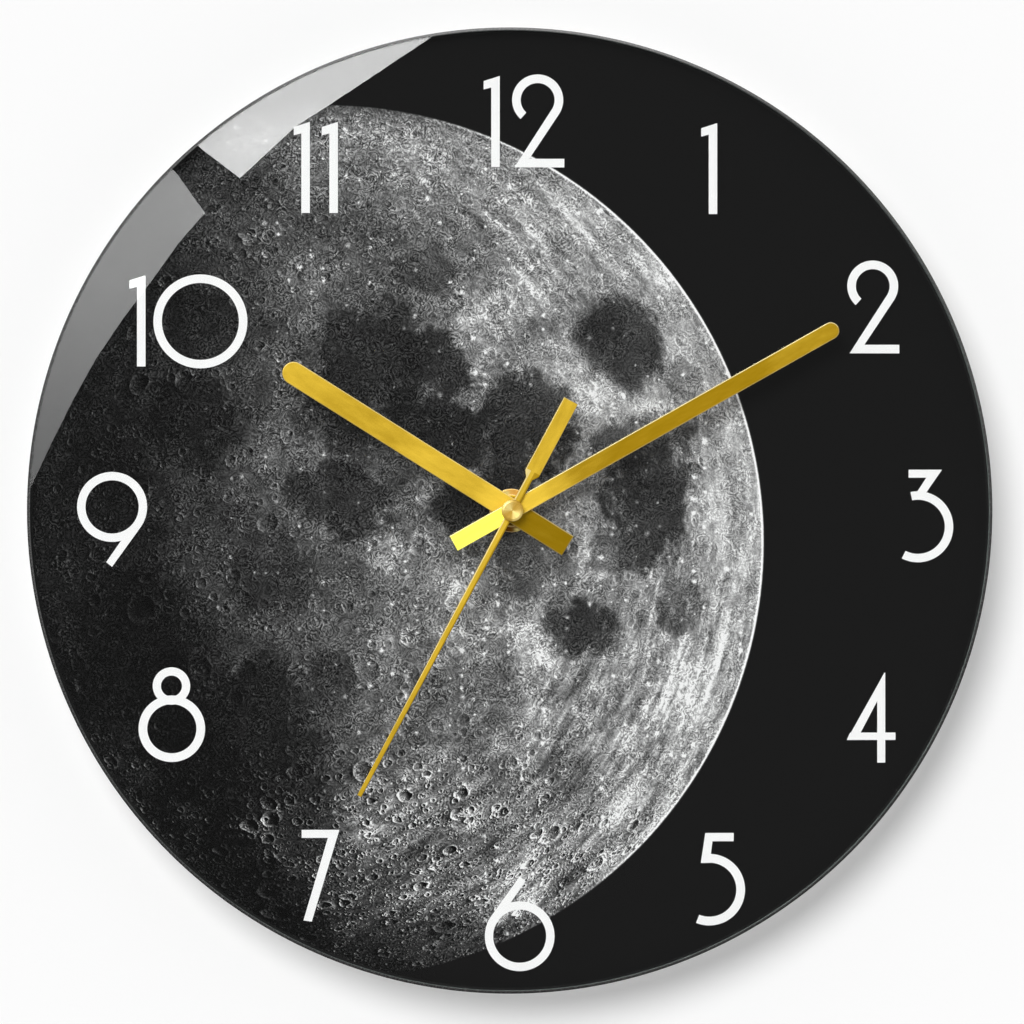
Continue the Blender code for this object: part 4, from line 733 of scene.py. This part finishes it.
def rubber():
    paint = Paint("washer_rubber")
    place = paint.place()
    bloom = paint.noise(place, 260.0, detail=5.0, roughness=0.65)
    tint = paint.blend(bloom.step(0.35, 0.7), (0.012, 0.012, 0.012), (0.040, 0.039, 0.037))
    paint.set(base_color=tint, roughness=bloom.step(0.2, 0.8, 0.66, 0.85), specular_ior_level=0.3)
    paint.bump(paint.noise(place, 3500.0, detail=2.0), 0.03 * MM)
    return paint.material


def clad(node, material):
    mesh = nodes[node].data
    mesh.materials.clear()
    mesh.materials.append(material)


WELD_REACH = 0.002 * MM
FACET_TURN = math.radians(25.0)
CORNER_TURN = math.radians(30.0)


def joined_smooth(node):
    """Joins a node's faces where they meet, and lets light pass smoothly from one to the next."""
    item = nodes[node]
    if item.data.has_custom_normals:
        item.data.attributes.remove(item.data.attributes["custom_normal"])
    for face in item.data.polygons:
        face.use_smooth = True
    weld = item.modifiers.new("weld", "WELD")
    weld.merge_threshold = WELD_REACH
    return item


def turned(node):
    """Shades a node's narrow facets as the round surface that they stand for."""
    split = joined_smooth(node).modifiers.new("corners", "EDGE_SPLIT")
    split.split_angle = FACET_TURN


def rounded(node, width):
    """Breaks a node's sharp edges, which a real part never has."""
    item = joined_smooth(node)
    bevel = item.modifiers.new("edges", "BEVEL")
    bevel.width = width
    bevel.segments = 2
    bevel.limit_method = "ANGLE"
    bevel.angle_limit = CORNER_TURN
    bevel.harden_normals = True


clad("dial_film", printed_film())
clad("glass_dial", clear_glass())
nodes["glass_dial"].visible_shadow = False
nodes["glass_dial"].visible_diffuse = False

# The hands' bearings, widths and ends are those of the solids; their stops, tail and edges set the painted
# sheen and painted edge highlights.
clad(
    "hour_hand",
    hand_gold(
        "hour_gold",
        bearing=302.19,
        width=7.05,
        ends=(-20.6, 83.4),
        stops=((4.0, 0.90), (14.0, 0.52), (30.0, 0.60), (46.0, 0.41), (62.0, 0.41), (76.0, 0.55)),
        tail=0.10,
        lean=-0.30,
        edges=(0.15, 0.45),
    ),
)
clad(
    "minute_hand",
    hand_gold(
        "minute_gold",
        bearing=60.61,
        width=5.35,
        ends=(-20.8, 116.3),
        stops=(
            (3.0, 0.88),
            (9.0, 0.76),
            (15.0, 0.56),
            (25.0, 0.22),
            (45.0, 0.01),
            (84.0, 0.03),
            (103.0, 0.30),
            (112.0, 0.20),
        ),
        tail=1.2,
        lean=0.20,
        edges=(0.90, 0.25),
    ),
)
clad(
    "seconds_hand",
    hand_gold(
        "seconds_gold",
        bearing=208.2,
        width=4.9,
        ends=(-38.6, 100.2),
        stops=((3.0, 0.62), (20.0, 0.52), (50.0, 0.48), (80.0, 0.40), (100.0, 0.36)),
        tail=0.50,
        lean=0.0,
        edges=(0.10, 0.55),
        paddle_end=-13.4,
    ),
)
clad(
    "seconds_cap",
    spun_metal(
        "cap_gold",
        base=(1.0, 0.80, 0.27),
        dark=(0.60, 0.35, 0.045),
        roughness=0.30,
        pitch=0.42,
        height=0.006,
        metallic=0.25,
        dome=(2.5, 3.4),
    ),
)
clad("round_nut", polished_nut())
for name in ("threaded_bushing", "hour_collet", "minute_collet", "cannon_tube"):
    brass = spun_metal(
        name + "_brass",
        base=(0.86, 0.60, 0.22),
        dark=(0.50, 0.31, 0.09),
        roughness=0.26,
        pitch=0.30,
        height=0.010,
    )
    clad(name, brass)
for name in ("seconds_arbor", "clutch_spring", "coil_core", "stator_plate", "quartz_crystal"):
    clad(name, metal(name + "_steel", (0.62, 0.62, 0.64), roughness=0.30))
for name in ("negative_contact", "positive_contact"):
    clad(name, metal(name + "_nickel", (0.72, 0.70, 0.66), roughness=0.25, stretch=(1.0, 0.1, 1.0)))
clad("rotor_magnet", metal("magnet_ferrite", (0.10, 0.10, 0.11), roughness=0.5))
clad("coil_winding", enamelled_wire())
for name in ("movement_case", "rear_cover", "hanger"):
    clad(name, plastic(name + "_black", (0.020, 0.020, 0.021), roughness=0.46, size=1900.0, grain=0.05 * MM))
clad("setting_knob", plastic("knob_black", (0.045, 0.045, 0.047), roughness=0.40))
clad("middle_plate", plastic("plate_natural", (0.62, 0.60, 0.54)))
clad("coil_bobbin", plastic("bobbin_red", (0.42, 0.05, 0.03)))
for name, base in (
    ("rotor_pinion", (0.75, 0.75, 0.72)),
    ("fifth_wheel", (0.70, 0.70, 0.66)),
    ("seconds_wheel", (0.55, 0.60, 0.66)),
    ("third_wheel", (0.70, 0.70, 0.66)),
    ("centre_wheel", (0.66, 0.52, 0.20)),
    ("minute_wheel", (0.70, 0.70, 0.66)),
    ("hour_wheel", (0.66, 0.66, 0.62)),
):
    clad(name, plastic(name + "_acetal", base, roughness=0.38))
clad("circuit_board", laminate())
clad("timing_chip", plastic("chip_resin", (0.012, 0.012, 0.012), roughness=0.3))
clad("rubber_washer", rubber())
clad("battery_cell", cell_wrap())

# How wide the broken edges are, in millimetres
for name, width in (
    ("hour_hand", 0.18),
    ("minute_hand", 0.18),
    ("seconds_hand", 0.12),
    ("seconds_cap", 0.12),
    ("round_nut", 0.12),
    ("movement_case", 0.30),
    ("rear_cover", 0.20),
    ("hanger", 0.30),
    ("setting_knob", 0.15),
    ("battery_cell", 0.30),
):
    rounded(name, width * MM)
for name in (
    "glass_dial",
    "dial_film",
    "rubber_washer",
    "threaded_bushing",
    "hour_collet",
    "minute_collet",
    "cannon_tube",
    "timing_chip",
    "coil_winding",
):
    turned(name)


# Numbers of the dial: thin white sheets in front of the film, each joined from bands and bars. A figure's
# outline counts millimetres from its own foot or middle, and NUMBERS says where that stands on the dial.

NUMBER_BACK = FILM_FRONT - 0.05 * MM
NUMBER_FRONT = FILM_FRONT - 0.15 * MM


def arc(x, z, inner, outer, start, end, steps=40):
    """A band round a centre, clockwise between two bearings."""
    outside, inside = [], []
    for step in range(steps + 1):
        angle = math.radians(start + (end - start) * step / steps)
        outside.append((x + outer * math.sin(angle), z + outer * math.cos(angle)))
        inside.append((x + inner * math.sin(angle), z + inner * math.cos(angle)))
    return outside + inside[::-1]


def ring(x, z, inner, outer):
    return (arc(x, z, inner, outer, 0, 180, steps=32), arc(x, z, inner, outer, 180, 360, steps=32))


ONE = [((0, 0), (0, 28.3), (-5.0, 26.7), (-5.0, 24.1), (-2.65, 24.7), (-2.65, 0))]
TWO = [
    arc(0, 20.95, 5.28, 7.96, 222, 483.5),
    ((-7.24, 0), (8.3, 0), (8.3, 2.67), (-2.61, 2.67), (6.79, 16.78), (4.60, 18.34)),
]
THREE = [
    ((-2.89, 28.85), (7.55, 28.85), (2.64, 21.76), (-1.83, 19.52), (2.64, 26.36), (-2.89, 26.36)),
    arc(0, 11.07, 8.44, 11.07, -12, 207),
]
FOUR = [
    ((0, 0), (0, 28.0), (-0.3, 28.0), (-2.49, 23.9), (-2.49, 0)),
    ((0, 27.6), (-0.22, 28.0), (-12.0, 7.06), (-8.9, 7.06), (-2.0, 20.1)),
    ((-12.0, 7.06), (3.2, 7.06), (3.2, 9.36), (-11.0, 9.36)),
]
FIVE = [
    (
        (-1.27, 28.78),
        (7.58, 28.78),
        (7.58, 26.2),
        (0.96, 26.2),
        (0.40, 21.8),
        (0.39, 19.5),
        (-2.67, 19.43),
    ),
    arc(0, 11.13, 8.41, 11.13, 2, 202),
]
SIX = [
    *ring(0, 10.85, 8.25, 10.85),
    ((-8.67, 17.38), (0.03, 29.44), (1.83, 27.98), (-6.59, 15.81)),
]
SEVEN = [
    ((0, 28.5), (11.72, 28.5), (11.0, 26.0), (0, 26.0)),
    ((11.72, 28.5), (3.14, 0), (0.56, 0.37), (8.14, 26.0), (8.8, 28.5)),
]
EIGHT = [*ring(-0.12, 23.56, 3.25, 5.81), *ring(0, 10.32, 7.62, 10.32)]
NOUGHT = ring(0, 0, 11.94, 14.58)


def moved(outlines, x, z, turn=1):
    return [[(x + turn * px, z + turn * pz) for px, pz in outline] for outline in outlines]


NUMBERS = {
    1: moved(ONE, 64.55, 92.3),
    2: moved(TWO, 113.1, 49.0),
    3: moved(THREE, 127.2, -16.1),
    4: moved(FOUR, 117.0, -78.5),
    5: moved(FIVE, 62.1, -129.1),
    6: moved(SIX, 3.0, -143.15),
    7: moved(SEVEN, -64.75, -127.6),
    8: moved(EIGHT, -105.0, -77.97),
    9: moved(SIX, -123.5, 12.0, turn=-1),
    10: moved(ONE, -113.15, 44.7) + moved(NOUGHT, -96.15, 58.7),
    11: moved(ONE, -62.2, 92.4) + moved(ONE, -53.5, 92.4),
    12: moved(ONE, -3.2, 106.8) + moved(TWO, 8.6, 106.7),
}


def added(name, shape):
    """Puts a mesh under construction into the scene."""
    bmesh.ops.recalc_face_normals(shape, faces=shape.faces)
    mesh = bpy.data.meshes.new(name)
    shape.to_mesh(mesh)
    shape.free()
    item = bpy.data.objects.new(name, mesh)
    bpy.context.scene.collection.objects.link(item)
    return item


def prism(name, outline, front, behind):
    """A flat plate with this outline between two depths."""
    shape = bmesh.new()
    corners = [shape.verts.new(spot(x, z, front)) for x, z in outline]
    face = shape.faces.new(corners)
    grown = bmesh.ops.extrude_face_region(shape, geom=[face])
    for item in grown["geom"]:
        if isinstance(item, bmesh.types.BMVert):
            item.co.y = behind
    return added(name, shape)


def sheet(name, outlines, front, behind, material):
    """One plate from outlines that overlap."""
    first, *others = [prism(f"{name}_{k}", outline, front, behind) for k, outline in enumerate(outlines)]
    for other in others:
        joint = first.modifiers.new("join", "BOOLEAN")
        joint.operation = "UNION"
        joint.solver = "EXACT"
        joint.object = other
        bpy.context.view_layer.objects.active = first
        bpy.ops.object.modifier_apply(modifier=joint.name)
        bpy.data.objects.remove(other)
    first.name = name
    first.data.materials.append(material)
    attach(first, "clock_body")


def white_ink():
    paint = Paint("white_ink")
    mottle = paint.noise(paint.place(), 700.0, detail=3.0)
    paint.set(base_color=paint.blend(mottle, (0.955, 0.955, 0.955), (0.985, 0.985, 0.98)), roughness=0.5)
    return paint.material


RIM_STEPS = 288


def swept(name, levels, body, material):
    """A ring turned round the hands' axis from pairs of a radius in mm and a depth in metres."""
    shape = bmesh.new()
    loops = []
    for step in range(RIM_STEPS):
        angle = 2 * math.pi * step / RIM_STEPS
        loops.append([shape.verts.new(spot(r * math.sin(angle), r * math.cos(angle), y)) for r, y in levels])
    for here, there in zip(loops, loops[1:] + loops[:1]):
        for k in range(len(levels)):
            following = (k + 1) % len(levels)
            shape.faces.new((here[k], here[following], there[following], there[k]))
    item = added(name, shape)
    item.data.materials.append(material)
    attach(item, body)


# A black line printed round the back of the glass
BORDER_INNER = GLASS_RADIUS - 1.6
BORDER_OUTER = GLASS_RADIUS - 0.6
BORDER_FRONT = GLASS_BACK + 0.04 * MM
BORDER_BACK = GLASS_BACK + 0.10 * MM
swept(
    "dial_border",
    (
        (BORDER_INNER, BORDER_FRONT),
        (BORDER_OUTER, BORDER_FRONT),
        (BORDER_OUTER, BORDER_BACK),
        (BORDER_INNER, BORDER_BACK),
    ),
    "clock_body",
    plastic("border_ink", (0.004, 0.004, 0.004), roughness=0.6, grain=0.005 * MM, shine=0.1),
)


def ground_edge():
    """The ground edge of the glass: finely scratched, darkest at its front corner and greenish past it."""
    paint = Paint("ground_edge")
    place = paint.place()
    x, z, depth = paint.on_dial()
    reach = (x * x + z * z).math("SQRT")
    wall = depth.step(GLASS_FRONT + 0.72 * MM, GLASS_FRONT + 0.85 * MM)
    corner = reach.step(GLASS_RADIUS - 0.34, GLASS_RADIUS - 0.18)
    scratches = paint.noise(place, 1500.0, detail=3.0, roughness=0.6)
    clouds = paint.noise(place, 60.0, detail=3.0)
    worn = (scratches + clouds - 0.5).step(0.2, 0.8)
    grey = paint.blend(worn, (0.038, 0.038, 0.038), (0.056, 0.056, 0.055))
    green = paint.blend(worn, (0.050, 0.066, 0.060), (0.085, 0.108, 0.099))
    tint = paint.blend(corner, grey, (0.008, 0.008, 0.008))
    tint = paint.blend(wall, tint, green)
    roughness = scratches.step(0.2, 0.8, 0.20, 0.32) + wall * 0.28
    paint.set(base_color=tint, roughness=roughness, specular_ior_level=1.0)
    paint.bump(scratches, 0.004 * MM)
    return paint.material


# The ground edge, a skin over both chamfers and the wall between them, whose 120 sides would show at the rim.
# It starts a little inside the chamfers, and its inner side lies in the glass.
CHAMFER = 0.70 * MM
SKIN_START = GLASS_RADIUS - 0.84
SKIN_SHOULDER = GLASS_RADIUS - 0.67
SKIN_OUTSIDE = GLASS_RADIUS + 0.04
SKIN_INSIDE = GLASS_RADIUS - 0.15
SKIN_OVER = 0.012 * MM
SKIN_UNDER = 0.03 * MM
INNER_CHAMFER = CHAMFER + 0.02 * MM
swept(
    "dial_edge",
    (
        (SKIN_START, GLASS_FRONT - SKIN_OVER),
        (SKIN_SHOULDER, GLASS_FRONT - SKIN_OVER),
        (SKIN_OUTSIDE, GLASS_FRONT + CHAMFER),
        (SKIN_OUTSIDE, GLASS_BACK - CHAMFER),
        (SKIN_SHOULDER, GLASS_BACK + SKIN_OVER),
        (SKIN_START, GLASS_BACK + SKIN_OVER),
        (SKIN_START, GLASS_BACK - SKIN_UNDER),
        (SKIN_INSIDE, GLASS_BACK - INNER_CHAMFER),
        (SKIN_INSIDE, GLASS_FRONT + INNER_CHAMFER),
        (SKIN_START, GLASS_FRONT + SKIN_UNDER),
    ),
    "clock_body",
    ground_edge(),
)

ink = white_ink()
for value, outlines in NUMBERS.items():
    placed = moved(outlines, *PRINT_SHIFT)
    sheet(f"number_{value}", placed, NUMBER_FRONT, NUMBER_BACK, ink)


# Marks printed on the back: which ways the knob turns, and which way round the cell goes

COVER_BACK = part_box("rear_cover")[1].y
MARK_FRONT = COVER_BACK - 0.05 * MM
MARK_BACK = COVER_BACK + 0.02 * MM
knob_low, knob_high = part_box("setting_knob")
KNOB_X = (knob_low.x + knob_high.x) / 2 / MM
KNOB_Z = ((knob_low.z + knob_high.z) / 2 - AXIS_Z) / MM
ARROW_RADIUS = 9.6
ARROW_HALF = 0.35
HEAD_HALF = 1.3
HEAD_TURN = 16.0
HEAD_OVERLAP = 1.0
SIGN_X = 21.0
SIGN_Z = -9.2
SIGN_LENGTH = 3.2
SIGN_STROKE = 0.7


def turned_arrow(start, end):
    """A band round the knob, from one bearing to another, with a point at its end."""
    way = math.copysign(1.0, end - start)
    tip, root = math.radians(end + way * HEAD_TURN), math.radians(end - way * HEAD_OVERLAP)
    wide, narrow = ARROW_RADIUS + HEAD_HALF, ARROW_RADIUS - HEAD_HALF
    head = [
        (KNOB_X + ARROW_RADIUS * math.sin(tip), KNOB_Z + ARROW_RADIUS * math.cos(tip)),
        (KNOB_X + wide * math.sin(root), KNOB_Z + wide * math.cos(root)),
        (KNOB_X + narrow * math.sin(root), KNOB_Z + narrow * math.cos(root)),
    ]
    return [arc(KNOB_X, KNOB_Z, ARROW_RADIUS - ARROW_HALF, ARROW_RADIUS + ARROW_HALF, start, end), head]


def bar(x, z, width, height):
    left, right, low, high = x - width / 2, x + width / 2, z - height / 2, z + height / 2
    return ((left, low), (right, low), (right, high), (left, high))


marking = plastic("marks_grey", (0.40, 0.40, 0.39), roughness=0.55, grain=0.005 * MM)
MARKS = {
    "arrow_forward": turned_arrow(-60, 10),
    "arrow_back": turned_arrow(-120, -190),
    "sign_plus": [
        bar(SIGN_X, SIGN_Z, SIGN_LENGTH, SIGN_STROKE),
        bar(SIGN_X, SIGN_Z, SIGN_STROKE, SIGN_LENGTH),
    ],
    "sign_minus": [bar(-SIGN_X, SIGN_Z, SIGN_LENGTH, SIGN_STROKE)],
}
for name, outlines in MARKS.items():
    sheet(name, outlines, MARK_FRONT, MARK_BACK, marking)


# Camera, a little to the left of the clock's front. The dial takes up this share of the frame's side, which
# the photo's 1024 pixels span; places in the picture are given in those pixels.

FRAME_PIXELS = 1024
DIAL_PIXELS = 966.4
DIAL_WIDTH = 0.300
FRAME_SIDE = DIAL_WIDTH * FRAME_PIXELS / DIAL_PIXELS
TARGET = spot(0.25, -0.45, GLASS_FRONT)
AZIMUTH = math.radians(-2.5)
ELEVATION = math.radians(0.0)
DISTANCE = 2.2
SENSOR_WIDTH = 36.0

camera_data = bpy.data.cameras.new("camera")
camera = bpy.data.objects.new("camera", camera_data)
bpy.context.scene.collection.objects.link(camera)
level = math.cos(ELEVATION)
back = Vector((math.sin(AZIMUTH) * level, -math.cos(AZIMUTH) * level, math.sin(ELEVATION)))
camera.location = TARGET + back * DISTANCE
camera.rotation_mode = "QUATERNION"
camera.rotation_quaternion = (-back).to_track_quat("-Z", "Y")
camera_data.sensor_width = SENSOR_WIDTH
camera_data.lens = SENSOR_WIDTH * DISTANCE / FRAME_SIDE
camera_data.clip_start = 0.05
camera_data.clip_end = 30.0
bpy.context.scene.camera = camera


# Studio: a white wall behind the clock, a soft key from the upper left, a lamp for the clock's back, a room
# that is dim ahead of the dial, and the two panes of a window that the glass mirrors

WALL_HALF = 6.0
WALL_BACK = 0.2 * MM
WINDOW_FAR = 3.0


def wall_paint():
    """White wall paint, which is clear from behind so that the clock's back can be seen."""
    paint = Paint("wall_white")
    tree = paint.tree
    rough = paint.noise(paint.place(), 160.0, detail=3.0)
    paint.set(base_color=(0.95, 0.95, 0.95, 1.0), roughness=0.9, specular_ior_level=0.0)
    paint.bump(rough, 0.04 * MM)
    path = tree.nodes.new("ShaderNodeLightPath")
    shape = tree.nodes.new("ShaderNodeNewGeometry")
    seen = Wire(tree, path.outputs["Is Camera Ray"]) + Wire(tree, path.outputs["Is Transmission Ray"])
    front = 1.0 - Wire(tree, shape.outputs["Backfacing"])
    clear = tree.nodes.new("ShaderNodeBsdfTransparent")
    mix = tree.nodes.new("ShaderNodeMixShader")
    feed(mix.inputs[0], (seen * front).smaller(1.0))
    tree.links.new(clear.outputs[0], mix.inputs[1])
    tree.links.new(paint.shader.outputs[0], mix.inputs[2])
    tree.links.new(mix.outputs[0], paint.output.inputs["Surface"])
    return paint.material


def card(name, corners, material):
    mesh = bpy.data.meshes.new(name)
    mesh.from_pydata(corners, [], [tuple(range(len(corners)))])
    mesh.materials.append(material)
    item = bpy.data.objects.new(name, mesh)
    bpy.context.scene.collection.objects.link(item)
    return item


card(
    "wall",
    [(side * WALL_HALF, WALL_BACK, rise * WALL_HALF) for side, rise in ((-1, -1), (1, -1), (1, 1), (-1, 1))],
    wall_paint(),
)


def mirrored(across, down):
    """Where on the window's plane lies what the glass mirrors at this pixel of the frame."""
    right = camera.rotation_quaternion @ Vector((1.0, 0.0, 0.0))
    upward = camera.rotation_quaternion @ Vector((0.0, 1.0, 0.0))
    eye = camera.location
    off = right * (across / FRAME_PIXELS - 0.5) + upward * (0.5 - down / FRAME_PIXELS)
    aim = TARGET + off * FRAME_SIDE - eye
    on_glass = eye + aim * ((GLASS_FRONT - eye.y) / aim.y)
    return on_glass + Vector((aim.x, -aim.y, aim.z)) * ((WINDOW_FAR + GLASS_FRONT) / aim.y)


def window_light(name, first, last, low, high):
    """Daylight that goes from first at the pixel row low to last at the row high."""
    material = bpy.data.materials.new(name)
    material.use_nodes = True
    tree = material.node_tree
    tree.nodes.clear()
    look = tree.nodes.new("ShaderNodeTexCoord")
    _, _, height = Wire(tree, look.outputs["Object"]).parts()
    lamp = tree.nodes.new("ShaderNodeEmission")
    bottom, top = mirrored(FRAME_PIXELS / 2, low).z, mirrored(FRAME_PIXELS / 2, high).z
    feed(lamp.inputs["Strength"], height.step(bottom, top, first, last))
    output = tree.nodes.new("ShaderNodeOutputMaterial")
    tree.links.new(lamp.outputs[0], output.inputs["Surface"])
    return material


def window_pane(name, outline, material):
    pane = card(name, [mirrored(*corner) for corner in outline], material)
    pane.visible_camera = False
    pane.visible_diffuse = False
    pane.visible_shadow = False


# Corners of the panes as the glass mirrors them, in pixels of the frame
UPPER_PANE = ((445, 28), (329, 105), (296, 126), (240, 178), (203, 150), (120, 85), (150, -60), (460, -60))
LOWER_PANE = (
    (205, 213),
    (180, 241),
    (150, 283),
    (122, 320),
    (95, 360),
    (73, 400),
    (53, 440),
    (15, 520),
    (-60, 520),
    (-60, 120),
    (100, 90),
    (178, 175),
)
window_pane("upper_pane", UPPER_PANE, window_light("upper_daylight", first=7.9, last=7.8, low=200, high=20))
window_pane("lower_pane", LOWER_PANE, window_light("lower_daylight", first=1.7, last=3.7, low=520, high=190))


def sun(name, towards, strength, spread=30):
    data = bpy.data.lights.new(name, "SUN")
    data.energy = strength
    data.angle = math.radians(spread)
    lamp = bpy.data.objects.new(name, data)
    bpy.context.scene.collection.objects.link(lamp)
    lamp.rotation_mode = "QUATERNION"
    lamp.rotation_quaternion = Vector(towards).to_track_quat("-Z", "Y")


sun("key", (0.30, 0.89, -0.37), 1.95)
sun("back_fill", (0.4, -0.8, -0.5), 1.6)

# The room's strength ahead of the dial, what it gains away from there, and how high up the ceiling's bright
# strip starts, which only polished faces mirror
DIM_ROOM = 0.09
ROOM_LIGHT = 0.50
CEILING = (0.80, 0.98)


def studio_world():
    """White to the camera, a soft light on the clock, and a darker room in what glass and metal mirror."""
    world = bpy.data.worlds.new("studio")
    bpy.context.scene.world = world
    world.use_nodes = True
    tree = world.node_tree
    ground = tree.nodes["Background"]
    path = tree.nodes.new("ShaderNodeLightPath")
    look = tree.nodes.new("ShaderNodeTexCoord")
    aim = Wire(tree, look.outputs["Generated"])
    _, y, z = aim.parts()
    away = y.step(-0.97, -0.80)
    soft = away * ROOM_LIGHT + DIM_ROOM
    glossy = Wire(tree, path.outputs["Is Glossy Ray"])
    above = z.step(*CEILING, 0.0, 1.5) * glossy
    room = away * (z.step(-0.5, 0.9, 0.03, 0.70) + above) + DIM_ROOM
    reflected = (glossy + Wire(tree, path.outputs["Is Transmission Ray"])).smaller(1.0)
    strength = soft * (1.0 - reflected) + room * reflected
    seen = Wire(tree, path.outputs["Is Camera Ray"])
    feed(ground.inputs["Strength"], strength * (1.0 - seen) + seen)
    ground.inputs["Color"].default_value = (1.0, 1.0, 1.0, 1.0)


studio_world()

bpy.context.scene.view_settings.view_transform = "Standard"
